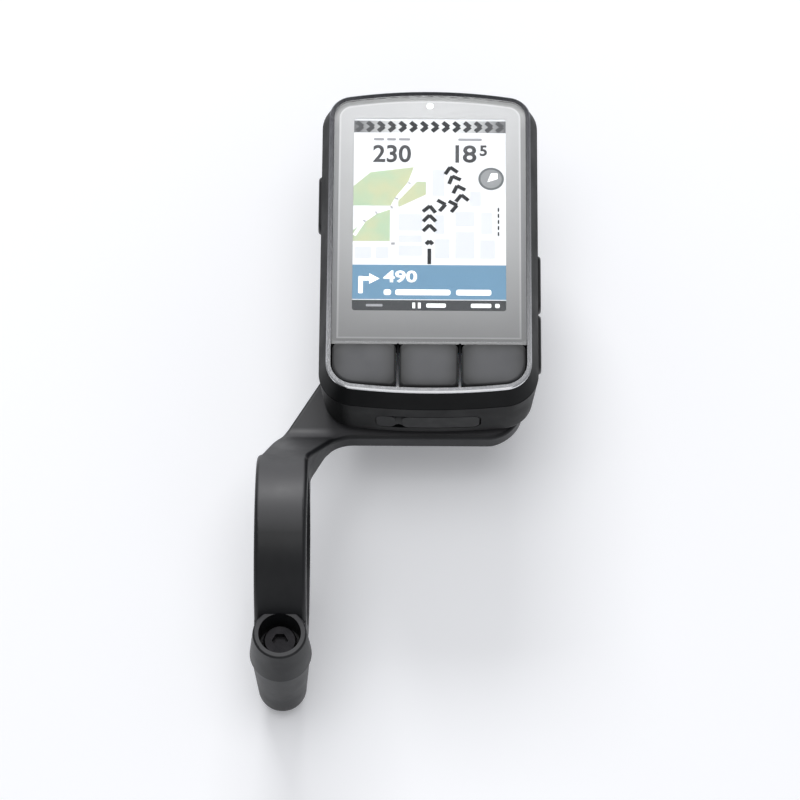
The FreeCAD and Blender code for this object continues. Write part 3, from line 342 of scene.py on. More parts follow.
bright_trim = metal("bright_trim", "dfe1e4", "eceef0", (0.14, 0.24), 0.15, 0.001, (1, 0.2, 1))
steel = metal("steel", "a9abae", "bdbfc2", (0.22, 0.38), 0.2, 0.002, (0.2, 1, 1))
black_steel = metal("black_steel", "28282a", "343335", (0.26, 0.42), 0.25, 0.003)
tin_plate = metal("tin_plate", "b4b7b8", "cdd0d1", (0.24, 0.42), 0.3, 0.002, (1, 0.15, 1))
brass_insert = metal("brass_insert", "9b7435", "c29a52", (0.24, 0.4), 0.2, 0.004)
cell_foil = metal("cell_foil", "a4a8ac", "c2c6ca", (0.3, 0.46), 0.6, 0.02)

# %% Ring and key bars
# Places along the part, in metres: each pair is where a painted change of shade starts and ends.
RING = (0.028, 0.104)
BARS_BEGIN = (0.0300, 0.0306)
BARS_END = (0.060, 0.070)
BARS = (0.030, 0.0412)
# The bars stand within this distance of the middle key's centre line, and the ring does not.
BARS_ASIDE = (0.010, 0.014)
KEY_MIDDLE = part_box("centre_key")[0].lerp(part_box("centre_key")[1], 0.5)
ahead = forward(bright_trim)
# Painted reflection: bright at the rider's end, dark at the far end.
ring_painted_reflection = shades(
    bright_trim,
    between(bright_trim, ahead, 0.0, 1.0, *RING),
    (0.0, "eeeff1"),
    (0.2, "d6d7d9"),
    (0.5, "a6a7a9"),
    (0.9, "85868a"),
    (0.98, "4c4d50"),
)
# Painted shade along the bars: pale at the ring, near black by the glass.
bar_painted_shade = shades(
    bright_trim,
    between(bright_trim, ahead, 0.0, 1.0, *BARS),
    (0.0, "b4b5b7"),
    (0.15, "77787a"),
    (0.5, "4c4d4f"),
    (0.9, "161718"),
)
# Picks out the bars between the keys, which take the darker painted shade.
bar_mask = between(bright_trim, off_centre(bright_trim, KEY_MIDDLE.x), 1.0, 0.0, *BARS_ASIDE)
for limit in (
    between(bright_trim, ahead, 0.0, 1.0, *BARS_BEGIN),
    between(bright_trim, ahead, 1.0, 0.0, *BARS_END),
):
    bar_mask = add_node(
        bright_trim, "ShaderNodeMath", None, {0: bar_mask, 1: limit}, operation="MULTIPLY"
    ).outputs[0]
trim_painted_light = add_node(
    bright_trim,
    "ShaderNodeMix",
    None,
    {0: bar_mask, 6: ring_painted_reflection, 7: bar_painted_shade},
    data_type="RGBA",
)
feed(bright_trim, "Base Color", trim_painted_light.outputs[2])
metals = (bright_trim, steel, black_steel, tin_plate, brass_insert, cell_foil)
print("metals:", [finish.name for finish in metals])

# %% [markdown]
# ## Inside parts
# Most of these are seen only when the case is opened, but each real one has a clear look: a green
# board with traces and tinned pads, amber flex cable with copper lines, white antenna ceramic,
# grey foam, and red and black wires. Cell patterns make the foam and the vent mesh, and straight
# bands make the traces. The little rod that carries the status light up to the glass is the one
# part that glows by itself.

# %% Boards and flex cable
circuit_board = new_finish("circuit_board", Coat_Weight=0.4, Coat_Roughness=0.15)
cells = add_node(
    circuit_board,
    "ShaderNodeTexVoronoi",
    {"Scale": 1000 / 2.2},
    {"Vector": place(circuit_board)},
    feature="DISTANCE_TO_EDGE",
).outputs["Distance"]
feed(
    circuit_board,
    "Base Color",
    shades(circuit_board, cells, (0.0, "3f7a54"), (0.05, "2c5f41"), (0.12, "1d4630")),
)
feed(circuit_board, "Roughness", between(circuit_board, cells, 0.28, 0.45, 0.0, 0.3))
feed(circuit_board, "Normal", relief(circuit_board, cells, 0.03))

flex_amber = new_finish("flex_amber", Coat_Weight=0.5, Coat_Roughness=0.2)
lines = add_node(
    flex_amber,
    "ShaderNodeTexWave",
    {"Scale": 1000 / 0.8 / 6.283, "Distortion": 0.0},
    {"Vector": place(flex_amber)},
    bands_direction="X",
).outputs["Fac"]
feed(flex_amber, "Base Color", shades(flex_amber, lines, (0.4, "9a4f12"), (0.6, "c8772a")))
feed(flex_amber, "Roughness", between(flex_amber, lines, 0.3, 0.45))
print("board finishes:", circuit_board.name, flex_amber.name)


# %% Ceramic, foam, mesh, wire and clear plastic
def cellular(name, dark, light, cell_mm, depth_mm, rough, **sockets):
    """A pattern of small cells, for foam, woven mesh and fired ceramic."""
    finish = new_finish(name, **sockets)
    cell = add_node(
        finish, "ShaderNodeTexVoronoi", {"Scale": 1000 / cell_mm}, {"Vector": place(finish)}
    ).outputs["Distance"]
    feed(finish, "Base Color", shades(finish, cell, (0.1, dark), (0.6, light)))
    feed(finish, "Roughness", between(finish, cell, rough[0], rough[1], 0.0, 0.7))
    feed(finish, "Normal", relief(finish, cell, depth_mm))
    return finish


foam_grey = cellular("foam_grey", "4b4e52", "6a6e73", 0.35, 0.05, (0.8, 0.95))
mesh_white = cellular("mesh_white", "c9ccd0", "eef0f2", 0.25, 0.03, (0.6, 0.8))
ceramic_white = cellular("ceramic_white", "dcd8cd", "eae7df", 0.12, 0.004, (0.3, 0.45))
wire_red = cellular("wire_red", "8d1d18", "a82a22", 0.5, 0.004, (0.35, 0.5), Coat_Weight=0.2)
clear_plastic = cellular(
    "clear_plastic", "e3e9ef", "f6f9fc", 0.8, 0.002, (0.12, 0.2), Transmission_Weight=0.35
)
lit_plastic = cellular(
    "lit_plastic", "f2f5f8", "ffffff", 0.6, 0.002, (0.25, 0.35), Emission_Strength=0.5
)
lit_shader = lit_plastic.node_tree.nodes["Principled BSDF"]
lit_shader.inputs["Emission Color"].default_value = colour("ffffff")
print("cellular finishes:", foam_grey.name, mesh_white.name, ceramic_white.name, wire_red.name)

# %% [markdown]
# ## Glass
# The face is hardened glass about a millimetre thick. Real glass lets light in to what is printed
# under it. A ray tracer finds that light only by luck, so the finish lets shadow rays straight
# through and keeps true refraction and reflection for everything else. Its roughness carries a
# trace of wiped finger grease.

# %% Screen glass
screen_glass = new_finish("screen_glass", Transmission_Weight=1.0, IOR=1.5)
glass_shader = screen_glass.node_tree.nodes["Principled BSDF"]
glass_shader.inputs["Base Color"].default_value = colour("fbfdfd")
wiped = speckle(screen_glass, 6.0, 4.0, (1, 0.35, 1))
feed(screen_glass, "Roughness", between(screen_glass, wiped, 0.01, 0.05, 0.4, 0.75))
let_light_in = add_node(
    screen_glass,
    "ShaderNodeMixShader",
    None,
    {
        0: add_node(screen_glass, "ShaderNodeLightPath").outputs["Is Shadow Ray"],
        1: glass_shader.outputs["BSDF"],
        2: add_node(screen_glass, "ShaderNodeBsdfTransparent").outputs["BSDF"],
    },
)
screen_glass.node_tree.links.new(
    let_light_in.outputs["Shader"],
    screen_glass.node_tree.nodes["Material Output"].inputs["Surface"],
)
print("glass lets shadow rays through:", let_light_in.name)

# %% [markdown]
# ## Screen inks
# The picture is a colour screen that is lit from behind and also by daylight. Each area of the
# picture is an ink: its own colour, the same colour as a soft glow, and the fine grid of the
# screen's dots, 0.14 mm apart, as a slight change of shade.


# %% Screen inks
def dimmer(code, share):
    """The same colour code, a little darker."""
    return "".join(f"{int(int(code[i : i + 2], 16) * share):02x}" for i in (0, 2, 4))


def ink(name, code, glow=0.12):
    """One area of the picture: its colour, a soft glow of it, and the grid of dots."""
    finish = new_finish(name, Roughness=0.5, Specular_IOR_Level=0.0, Emission_Strength=glow)
    dots = add_node(
        finish,
        "ShaderNodeTexVoronoi",
        {"Scale": 1000 / 0.14, "Randomness": 0.0},
        {"Vector": place(finish)},
        distance="CHEBYCHEV",
        voronoi_dimensions="2D",
    ).outputs["Distance"]
    shade = shades(finish, dots, (0.3, code), (0.5, dimmer(code, 0.94)))
    feed(finish, "Base Color", shade)
    feed(finish, "Emission Color", shade)
    return finish


page_white = ink("page_white", "e8e8ec", 0.1)
park_green = ink("park_green", "b3bfa9", 0.1)
block_grey = ink("block_grey", "d6d7dd", 0.08)
street_white = ink("street_white", "fcfcfe")
figure_grey = ink("figure_grey", "545456", 0.05)
route_black = ink("route_black", "353537", 0.05)
label_grey = ink("label_grey", "9a9a9e")
compass_grey = ink("compass_grey", "6c6e70")
dial_grey = ink("dial_grey", "929395")
turn_blue = ink("turn_blue", "6f91ab", 0.08)
strip_grey = ink("strip_grey", "4c4d4f", 0.04)
sign_white = ink("sign_white", "ffffff", 0.25)
drift = shades(park_green, speckle(park_green, 5.0, 2.0), (0.35, "bcbf9f"), (0.65, "adc0a6"))
feed(park_green, "Base Color", drift)
feed(park_green, "Emission Color", drift)
print("inks:", len([m for m in bpy.data.materials if m.name.endswith(("white", "grey", "blue"))]))

# %% [markdown]
# ## Finishes onto the ready-made parts
# Each ready-made node gets its finish in its own material slot. Nothing else about it changes.

# %% Dress the CAD nodes
NODE_FINISH = {
    case_black: "rear_case front_frame lock_foot",
    mount_black: "mount_arm lower_jaw twist_socket",
    side_key_black: "power_button up_button down_button",
    left_key_grey: "left_key",
    centre_key_grey: "centre_key",
    right_key_grey: "right_key",
    seal_rubber: "case_gasket port_cover port_cover_anchor",
    membrane_rubber: "key_membrane",
    bright_trim: "bezel_trim",
    screen_glass: "cover_glass",
    page_white: "lcd_panel",
    clear_plastic: "backlight",
    lit_plastic: "light_pipe",
    flex_amber: "display_flex",
    circuit_board: "main_board key_board",
    chip_black: "buzzer side_switches",
    tin_plate: "shield_can usb_socket",
    ceramic_white: "gps_antenna status_led",
    mesh_white: "vent_membrane",
    foam_grey: "battery_pad",
    cell_foil: "battery",
    wire_red: "battery_lead",
    steel: "case_screws foot_screws socket_screws hinge_pin key_domes",
    black_steel: "clamp_bolt clamp_washer",
    brass_insert: "clamp_insert",
}
dressed = set()
for finish, names in NODE_FINISH.items():
    for name in names.split():
        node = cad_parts[name]
        if not node.material_slots:
            node.data.materials.append(finish)
        for slot in node.material_slots:
            slot.material = finish
        dressed.add(name)
print("dressed:", len(dressed), "left plain:", sorted(set(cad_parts) - dressed))

# %% [markdown]
# ## Working by hand, in code
# New pieces are made with the same operators as the mouse uses. An operator acts on everything
# that is selected, so these helpers clear the selection, pick the piece, and leave it finished:
# its place goes into its mesh, and the object itself stays at the origin.


# %% Modelling helpers
def nothing_selected():
    if bpy.context.object and bpy.context.object.mode != "OBJECT":
        bpy.ops.object.mode_set(mode="OBJECT")
    bpy.ops.object.select_all(action="DESELECT")


def pick(piece):
    nothing_selected()
    piece.select_set(True)
    bpy.context.view_layer.objects.active = piece


def modify(piece, kind, **settings):
    """Adds one modifier and applies it at once."""
    pick(piece)
    step = piece.modifiers.new(kind.title(), kind)
    for name, value in settings.items():
        setattr(step, name, value)
    bpy.ops.object.modifier_apply(modifier=step.name)


def settle(piece):
    """Puts the piece's place, turn and size into its mesh."""
    pick(piece)
    bpy.ops.object.transform_apply(location=True, rotation=True, scale=True)
    return piece


def join(parts, name):
    """Makes one piece of several."""
    nothing_selected()
    for part in parts:
        part.select_set(True)
    bpy.context.view_layer.objects.active = parts[0]
    if len(parts) > 1:
        bpy.ops.object.join()
    parts[0].name = name
    return settle(parts[0])


def complete(piece, name, finish, body, smooth=None):
    piece.name = name
    piece.data.name = name
    piece.data.materials.clear()
    piece.data.materials.append(finish)
    if smooth is not None:
        pick(piece)
        bpy.ops.object.shade_smooth_by_angle(angle=math.radians(smooth))
    nothing_selected()
    if body:
        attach(piece, body)
    print(name, "faces:", len(piece.data.polygons))
    return piece


# %% [markdown]
# ## Printed border under the glass
# Real cover glass has ink screen-printed on its back, with a clear window for the screen. Making
# the border from the glass itself is the surest fit: copy the glass, keep only its underside,
# raise it a hair into the glass so that it is clear of the frame's seat, give it the thickness of
# ink, and cut the window out with a rounded block. Two insets of the same face make a darker
# margin along the ring and a thin pale line inside it, a painted reflection of the glass's bevelled
# edge, and a round hole lets the status light through. All three carry a painted reflection of the
# room in the glass: pale grey at the far end, getting darker towards the keys.

# %% Border ink with its painted reflection
SCREEN = sum(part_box("lcd_panel"), Vector()) / 2
# The window's left, right, near and far edges, in millimetres from the screen's middle.
WINDOW = (-16.6, 16.6, -23.2, 24.4)
# Where the painted reflection fades along the part, in metres.
REFLECTION_FADE = (0.040, 0.103)


def painted_reflection_ink(name, *stops):
    """A satin ink whose colour is a painted reflection that changes along the glass, from the keys
    to the far end.
    """
    finish = new_finish(name, Roughness=0.35, Specular_IOR_Level=0.2)
    reach = between(finish, forward(finish), 0.0, 1.0, *REFLECTION_FADE)
    feed(finish, "Base Color", shades(finish, reach, *stops))
    feed(finish, "Normal", relief(finish, speckle(finish, 0.15, 1.0), 0.002))
    return finish


# Painted reflection: each ink is pale at the far end and darker towards the keys.
border_print_and_reflection = painted_reflection_ink(
    "border_print_and_reflection", (0.0, "868687"), (0.4, "b2b2b3"), (0.75, "c8c8c9"), (1.0, "dadadb")
)
margin_painted_reflection = painted_reflection_ink(
    "margin_painted_reflection", (0.0, "7b7b7c"), (0.4, "8e8e90"), (0.85, "a2a2a3"), (1.0, "cecece")
)
bevel_line_painted_highlight = painted_reflection_ink(
    "bevel_line_painted_highlight", (0.0, "9a9a9b"), (0.4, "c0c0c1"), (0.75, "d8d8d9"), (1.0, "e4e4e5")
)
print("border fades over", round((REFLECTION_FADE[1] - REFLECTION_FADE[0]) / MM), "mm")

# %% Printed border
INK_LIFT = 0.000014
INK_THICK = 0.000010
MARGIN_WIDE = 0.0011
LINE_WIDE = 0.0004
WINDOW_CORNER = 0.0006
LIGHT_RADIUS = 0.00072
CUTTER_DEEP = 0.001
nothing_selected()
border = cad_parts["cover_glass"].copy()
border.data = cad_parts["cover_glass"].data.copy()
bpy.context.scene.collection.objects.link(border)
border.parent = None
border.matrix_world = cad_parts["cover_glass"].matrix_world.copy()
pick(border)
bpy.ops.object.mode_set(mode="EDIT")
bpy.ops.mesh.select_all(action="SELECT")
bpy.ops.mesh.remove_doubles(threshold=0.000001)
bpy.ops.mesh.select_mode(type="FACE")
bpy.ops.mesh.select_all(action="DESELECT")
bpy.ops.object.mode_set(mode="OBJECT")
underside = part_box("cover_glass")[0].z
for face in border.data.polygons:
    face.select = not (face.normal.z < -0.9 and face.center.z < underside + 0.0001)
bpy.ops.object.mode_set(mode="EDIT")
bpy.ops.mesh.delete(type="FACE")
bpy.ops.mesh.select_all(action="SELECT")
bpy.ops.transform.translate(value=(0, 0, INK_LIFT))
bpy.ops.mesh.flip_normals()
bpy.ops.mesh.dissolve_limited(angle_limit=0.01)
for width in (MARGIN_WIDE, LINE_WIDE):
    bpy.ops.mesh.select_all(action="SELECT")
    bpy.ops.mesh.inset(thickness=width, depth=0)
    bpy.ops.mesh.select_all(action="INVERT")
    bpy.ops.mesh.separate(type="SELECTED")
bpy.ops.object.mode_set(mode="OBJECT")
rims = [piece for piece in bpy.context.selected_objects if piece != border]
rims.sort(key=lambda piece: -piece.dimensions.x)
print("rims:", [round(piece.dimensions.x, 4) for piece in rims])
# The margin and the pale line are painted reflections of the glass's bevelled edge.
for rim, name, finish in zip(rims, ("painted_bevel_reflection", "painted_bevel_highlight"), (margin_painted_reflection, bevel_line_painted_highlight)):
    modify(rim, "SOLIDIFY", thickness=INK_THICK, offset=-1.0)
    complete(rim, name, finish, "head_unit")
modify(border, "SOLIDIFY", thickness=INK_THICK, offset=-1.0)

# %% Window and status light in the border
nothing_selected()
x0, x1, y0, y1 = WINDOW
bpy.ops.mesh.primitive_cube_add(
    size=1, location=(SCREEN.x + (x0 + x1) / 2 * MM, SCREEN.y + (y0 + y1) / 2 * MM, underside)
)
window = bpy.context.object
window.scale = ((x1 - x0) * MM, (y1 - y0) * MM, CUTTER_DEEP)
settle(window)
bpy.ops.object.mode_set(mode="EDIT")
bpy.ops.mesh.select_mode(type="EDGE")
bpy.ops.mesh.select_all(action="DESELECT")
bpy.ops.object.mode_set(mode="OBJECT")
for edge in window.data.edges:
    a, b = (window.data.vertices[i].co for i in edge.vertices)
    edge.select = abs(a.z - b.z) > CUTTER_DEEP / 2
bpy.ops.object.mode_set(mode="EDIT")
bpy.ops.mesh.bevel(offset=WINDOW_CORNER, segments=4)
bpy.ops.object.mode_set(mode="OBJECT")
nothing_selected()
light = sum(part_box("light_pipe"), Vector()) / 2
bpy.ops.mesh.primitive_cylinder_add(
    vertices=32, radius=LIGHT_RADIUS, depth=CUTTER_DEEP, location=(light.x, light.y, underside)
)
light_hole = settle(bpy.context.object)
for cutter in (window, light_hole):
    modify(border, "BOOLEAN", operation="DIFFERENCE", object=cutter, solver="EXACT")
    bpy.data.objects.remove(cutter)
complete(border, "printed_border", border_print_and_reflection, "head_unit")

# %% [markdown]
# ## The picture on the screen
# The picture is built as thin layers between the screen and the glass: areas first, then streets
# and signs, then the route. Each shape starts as a flat plane that is trimmed by straight cuts, and
# gets the thickness of a sheet of foil.

# %% Flat shapes
# Height of each layer above the screen and thickness of the foil, in millimetres.
LAYER = {"area": 0.006, "line": 0.022, "sign": 0.038, "top": 0.054}
FOIL = 0.010
SCREEN_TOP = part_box("lcd_panel")[1].z


def on_screen(x, y, layer):
    """A place on the screen, in millimetres from its middle, as a point in the frame."""
    return Vector((SCREEN.x + x * MM, SCREEN.y + y * MM, SCREEN_TOP + LAYER[layer] * MM))


def flat(x0, x1, y0, y1, layer, turn=0.0, rounded=0.0):
    """A flat bar between these edges, in millimetres from the screen's middle."""
    nothing_selected()
    middle = on_screen((x0 + x1) / 2, (y0 + y1) / 2, layer)
    bpy.ops.mesh.primitive_plane_add(size=1, location=middle, rotation=(0, 0, turn))
    bar = bpy.context.object
    bar.scale = ((x1 - x0) * MM, (y1 - y0) * MM, 1)
    settle(bar)
    if rounded:
        bpy.ops.object.mode_set(mode="EDIT")
        bpy.ops.mesh.select_all(action="SELECT")
        bpy.ops.mesh.bevel(offset=rounded * MM, segments=4, affect="VERTICES")
        bpy.ops.object.mode_set(mode="OBJECT")
    return bar


def snip(shape, x, y, towards):
    """Cuts the shape along a line through (x, y) and drops the side that faces this angle."""
    pick(shape)
    bpy.ops.object.mode_set(mode="EDIT")
    bpy.ops.mesh.select_all(action="SELECT")
    bpy.ops.mesh.bisect(
        plane_co=on_screen(x, y, "area"),
        plane_no=(math.cos(math.radians(towards)), math.sin(math.radians(towards)), 0),
        clear_outer=True,
    )
    bpy.ops.object.mode_set(mode="OBJECT")
    return shape


def thicken(piece):
    modify(piece, "SOLIDIFY", thickness=FOIL * MM, offset=1.0)
    return piece


def print_on_screen(parts, name, finish):
    piece = thicken(join(parts, name))
    return complete(piece, name, finish, "head_unit")


print("layers in mm:", LAYER)

# %% [markdown]
# ### Arrow marks
# A chevron is one slanted bar, cut on the centre line, and mirrored. One function makes it, and
# the route and the top band call it for each of their marks.


# %% Chevron
# One arm of the mark: its length and its distance from the centre line, as shares of the mark's
# width, and its slant in degrees.
ARM_LONG, ARM_ASIDE, ARM_SLANT = 0.62, 0.2, -42


def chevron(x, y, heading, width, layer, weight):
    """A > mark centred on (x, y), turned to its heading in degrees."""
    nothing_selected()
    bpy.ops.mesh.primitive_plane_add(size=1, location=(0, 0, 0))
    arm = bpy.context.object
    arm.scale = (width * ARM_LONG * MM, width * weight * MM, 1)
    arm.location = (0, width * ARM_ASIDE * MM, 0)
    arm.rotation_euler = (0, 0, math.radians(ARM_SLANT))
    settle(arm)
    bpy.ops.object.mode_set(mode="EDIT")
    bpy.ops.mesh.select_all(action="SELECT")
    bpy.ops.mesh.bisect(plane_co=(0, 0, 0), plane_no=(0, -1, 0), clear_outer=True)
    bpy.ops.object.mode_set(mode="OBJECT")
    modify(arm, "MIRROR", use_axis=(False, True, False), merge_threshold=0.00001)
    arm.location = on_screen(x, y, layer)
    arm.rotation_euler = (0, 0, math.radians(heading))
    return settle(arm)


# Each mark of the route: its place on the screen and its heading.
ROUTE = [
    (0.0, -2.9, 90), (0.0, -0.5, 90), (0.0, 1.8, 84), (2.7, 2.8, 10), (5.2, 2.6, 12),
    (7.0, 4.6, 96), (6.2, 6.9, 108), (5.2, 9.3, 112), (4.6, 11.5, 100),
]
route = [chevron(x, y, heading, 3.4, "top", 0.25) for x, y, heading in ROUTE]
print_on_screen(route, "screen_route", route_black)


# %% Top band with its arrows
def fading(name, middle, end):
    """An ink that changes from the middle of the screen towards both sides."""
    finish = ink(name, middle, 0.06)
    across = between(finish, off_centre(finish, SCREEN.x), 0.0, 1.0, 0.005, 0.0165)
    shade = shades(finish, across, (0.0, middle), (1.0, end))
    feed(finish, "Base Color", shade)
    feed(finish, "Emission Color", shade)
    return finish


band_ground = fading("band_ground", "dededf", "707072")
band_mark = fading("band_mark", "3a3a3c", "5a5a5c")
print_on_screen([flat(-16.6, 16.6, 20.9, 23.9, "area")], "screen_band", band_ground)
FIRST_ARROW, ARROW_STEP = -15.4, 2.36
arrows = [chevron(FIRST_ARROW + ARROW_STEP * i, 22.4, 0, 2.8, "line", 0.36) for i in range(14)]
print_on_screen(arrows, "screen_band_arrows", band_mark)

# %% [markdown]
# ### Numbers
# Speed, power and distance are plain numbers. Text is made a mesh first, then fitted to the box
# that it fills on the screen, because a font's own size says little about how tall a digit is.


# %% Numbers
def number(text, x0, x1, y0, y1, layer="line", weight=0.0):
    """A number that fills the box between these edges."""
    nothing_selected()
    bpy.ops.object.text_add()
    words = bpy.context.object
    words.data.body = text
    words.data.offset = weight
    words.data.resolution_u = 4
    bpy.ops.object.convert(target="MESH")
    words = bpy.context.object
    xs = [v.co.x for v in words.data.vertices]
    ys = [v.co.y for v in words.data.vertices]
    words.scale = ((x1 - x0) * MM / (max(xs) - min(xs)), (y1 - y0) * MM / (max(ys) - min(ys)), 1)
    corner = Vector((min(xs) * words.scale.x, min(ys) * words.scale.y, 0))
    words.location = on_screen(x0, y0, layer) - corner
    return settle(words)


readings = [
    number("230", -12.4, -4.1, 13.4, 17.8, weight=0.02),
    number("1", 5.6, 6.4, 13.4, 17.8),
    number("8", 7.2, 10.2, 13.4, 17.8, weight=0.02),
    number("5", 10.9, 12.5, 15.1, 17.8, weight=0.03),
]
print_on_screen(readings, "screen_numbers", figure_grey)
DASHES = ((-12.3, -10.0), (-9.4, -7.4), (-6.8, -4.3), (6.2, 11.4))
labels = [flat(a, b, 18.9, 19.5, "line", rounded=0.25) for a, b in DASHES]
print_on_screen(labels, "screen_labels", label_grey)

# %% [markdown]
# ### Map
# The map is three green areas, pale building blocks, and white streets laid over both. Each green
# area is a rectangle with a few straight snips.

# %% Parks, blocks and streets
north_park = flat(-16.6, -3.4, 2.6, 12.4, "area")
snip(north_park, -16.2, 7.8, 133)
snip(north_park, -13.6, 10.8, 98)
snip(north_park, -4.4, 9.2, -30)
east_park = flat(-6.8, -0.8, 2.4, 8.6, "area")
snip(east_park, -5.8, 5.0, 140)
snip(east_park, -4.2, 3.6, -62)
south_park = flat(-16.6, -8.6, -6.2, 1.8, "area")
snip(south_park, -14.8, -2.1, 128)
snip(south_park, -10.9, 0.9, 108)
print_on_screen([north_park, east_park, south_park], "screen_parks", park_green)
# The left, right, near and far edges of each building block.
BLOCKS = (
    (-6.7, -1.6, -3.6, 0.6), (-6.7, -1.6, -9.8, -4.7), (1.2, 4.4, -10.4, -5.6),
    (5.6, 9.8, -10.4, -3.8), (11.0, 14.2, -10.4, -5.8), (1.2, 3.2, -4.4, 0.4),
    (5.6, 9.8, -2.4, 1.2), (8.8, 11.2, 2.6, 6.2), (0.6, 3.2, 5.0, 11.6),
    (-16.2, -12.6, -10.4, -7.6), (-11.6, -8.8, -10.4, -7.6), (11.2, 13.6, -4.4, 1.0),
)
blocks = [flat(*block, "area", rounded=0.2) for block in BLOCKS]
print_on_screen(blocks, "screen_blocks", block_grey)


def street(x0, y0, x1, y1, width):
    """A straight street from one point to the other."""
    length = math.hypot(x1 - x0, y1 - y0) + width * 0.6
    turn = math.atan2(y1 - y0, x1 - x0)
    cx, cy = (x0 + x1) / 2, (y0 + y1) / 2
    return flat(cx - length / 2, cx + length / 2, cy - width / 2, cy + width / 2, "line", turn)


LONG_ROAD = [
    (-16.2, -4.6), (-14.2, -1.2), (-11.6, 0.9), (-8.2, 2.2), (-7.2, 4.4), (-4.4, 8.2), (-3.2, 11.8),
]
streets = [street(*a, *b, 0.75) for a, b in zip(LONG_ROAD, LONG_ROAD[1:])]
streets += [street(-7.9, -10.6, -7.9, 1.9, 0.9), street(-16.4, -6.8, -1.4, -6.8, 0.7)]
print_on_screen(streets, "screen_streets", street_white)

# %% Compass, marker and scale
nothing_selected()
bpy.ops.mesh.primitive_circle_add(
    vertices=40, radius=2.8 * MM, fill_type="NGON", location=on_screen(13.4, 9.4, "line")
)
disc = settle(bpy.context.object)
bpy.ops.object.mode_set(mode="EDIT")
bpy.ops.mesh.select_all(action="SELECT")
bpy.ops.mesh.inset(thickness=0.5 * MM, depth=0)
bpy.ops.mesh.separate(type="SELECTED")
bpy.ops.object.mode_set(mode="OBJECT")
dial = next(piece for piece in bpy.context.selected_objects if piece != disc)
print_on_screen([disc], "screen_compass", compass_grey)
print_on_screen([dial], "screen_compass_dial", dial_grey)
needle = flat(12.2, 14.8, 8.0, 10.8, "sign")
snip(needle, 13.5, 8.9, -70)
snip(needle, 12.9, 9.5, 160)
print_on_screen([needle], "screen_needle", sign_white)
marker = [flat(-0.4, 0.4, -11.8, -8.0, "sign"), chevron(0.0, -6.5, 90, 1.8, "sign", 0.5)]
SCALE_DASHES = (-4.8, -3.3, -1.8, -0.3, 1.2)
marker += [flat(14.8, 15.15, y, y + 1.0, "sign", rounded=0.12) for y in SCALE_DASHES]
print_on_screen(marker, "screen_marker", route_black)

# %% Turn band and key strip
print_on_screen([flat(-16.6, 16.6, -20.4, -12.0, "area")], "screen_turn_band", turn_blue)
arrow = [
    flat(-15.3, -14.3, -19.0, -14.8, "line", rounded=0.2),
    flat(-15.3, -12.6, -15.9, -14.9, "line", rounded=0.2),
]
nothing_selected()
bpy.ops.mesh.primitive_circle_add(
    vertices=3,
    radius=1.5 * MM,
    fill_type="NGON",
    location=on_screen(-12.2, -15.4, "line"),
    rotation=(0, 0, -math.pi / 2),
)
arrow.append(settle(bpy.context.object))
signs = arrow + [number("490", -9.9, -2.6, -16.4, -13.4, weight=0.03)]
STREET_NAME = ((-9.8, -8.2), (-7.3, 4.6), (5.8, 13.4))
signs += [flat(a, b, -19.4, -18.0, "line", rounded=0.5) for a, b in STREET_NAME]
print_on_screen(signs, "screen_turn_signs", sign_white)
print_on_screen([flat(-16.6, 16.6, -23.2, -20.6, "area")], "screen_key_strip", strip_grey)
icons = [flat(-3.6, -3.0, -22.6, -21.2, "line"), flat(-2.4, -1.8, -22.6, -21.2, "line")]
KEY_LABELS = ((-0.6, 3.6), (9.0, 13.4), (14.2, 15.2))
icons += [flat(a, b, -22.4, -21.4, "line", rounded=0.3) for a, b in KEY_LABELS]
print_on_screen(icons, "screen_icons", sign_white)
small_icon = flat(-13.6, -10.0, -22.2, -21.6, "line", rounded=0.25)
print_on_screen([small_icon], "screen_small_icon", label_grey)

# %% [markdown]
# ## Strap of the port cover
# The cover hangs on a short strap of the same rubber. On the real part it is moulded in one with
# the tab and bends as the cover swings. Here it is its own piece. It starts as a block, gets rings
# of edges across it, and its waist is pinched.

# %% Cover strap
STRAP_X, STRAP_Y, STRAP_Z = 0.0246, 0.0287, 0.0059
STRAP_SIZE = (0.0026, 0.0007, 0.0036)
nothing_selected()
bpy.ops.mesh.primitive_cube_add(size=1, location=(STRAP_X, STRAP_Y, STRAP_Z))
strap = bpy.context.object
strap.scale = STRAP_SIZE
settle(strap)
for step_mm in (-0.8, -0.4, 0.0, 0.4, 0.8):
    bpy.ops.object.mode_set(mode="EDIT")
    bpy.ops.mesh.select_all(action="SELECT")
    bpy.ops.mesh.bisect(plane_co=(STRAP_X + step_mm * MM, 0, 0), plane_no=(1, 0, 0))
    bpy.ops.object.mode_set(mode="OBJECT")
for vertex in strap.data.vertices:
    pinch = max(0.0, 1 - abs(vertex.co.x - STRAP_X) / 0.0008)
    vertex.co.y = STRAP_Y + (vertex.co.y - STRAP_Y) * (1 - 0.35 * pinch)
    vertex.co.z = STRAP_Z + (vertex.co.z - STRAP_Z) * (1 - 0.1 * pinch)
modify(strap, "BEVEL", width=0.00012, segments=2, limit_method="ANGLE")
complete(strap, "port_cover_strap", seal_rubber, None, smooth=40)
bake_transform(strap)

# %% [markdown]
# ## Tongue in the charging socket
# A charging socket has a thin board down its middle with gold strips on both sides. It shows when
# the rubber cover is open.

# %% Socket tongue
TONGUE_X, TONGUE_Y, TONGUE_Z = 0.0337, 0.0349, 0.0060
STRIP_STEP, STRIP_Y, STRIP_RISE = 0.0009, 0.0345, 0.00036


def block(location, size, bevel, segments):
    """A small block with its edges taken off."""
    nothing_selected()
    bpy.ops.mesh.primitive_cube_add(size=1, location=location)
    piece = bpy.context.object
    piece.scale = size
    settle(piece)
    modify(piece, "BEVEL", width=bevel, segments=segments)
    return piece


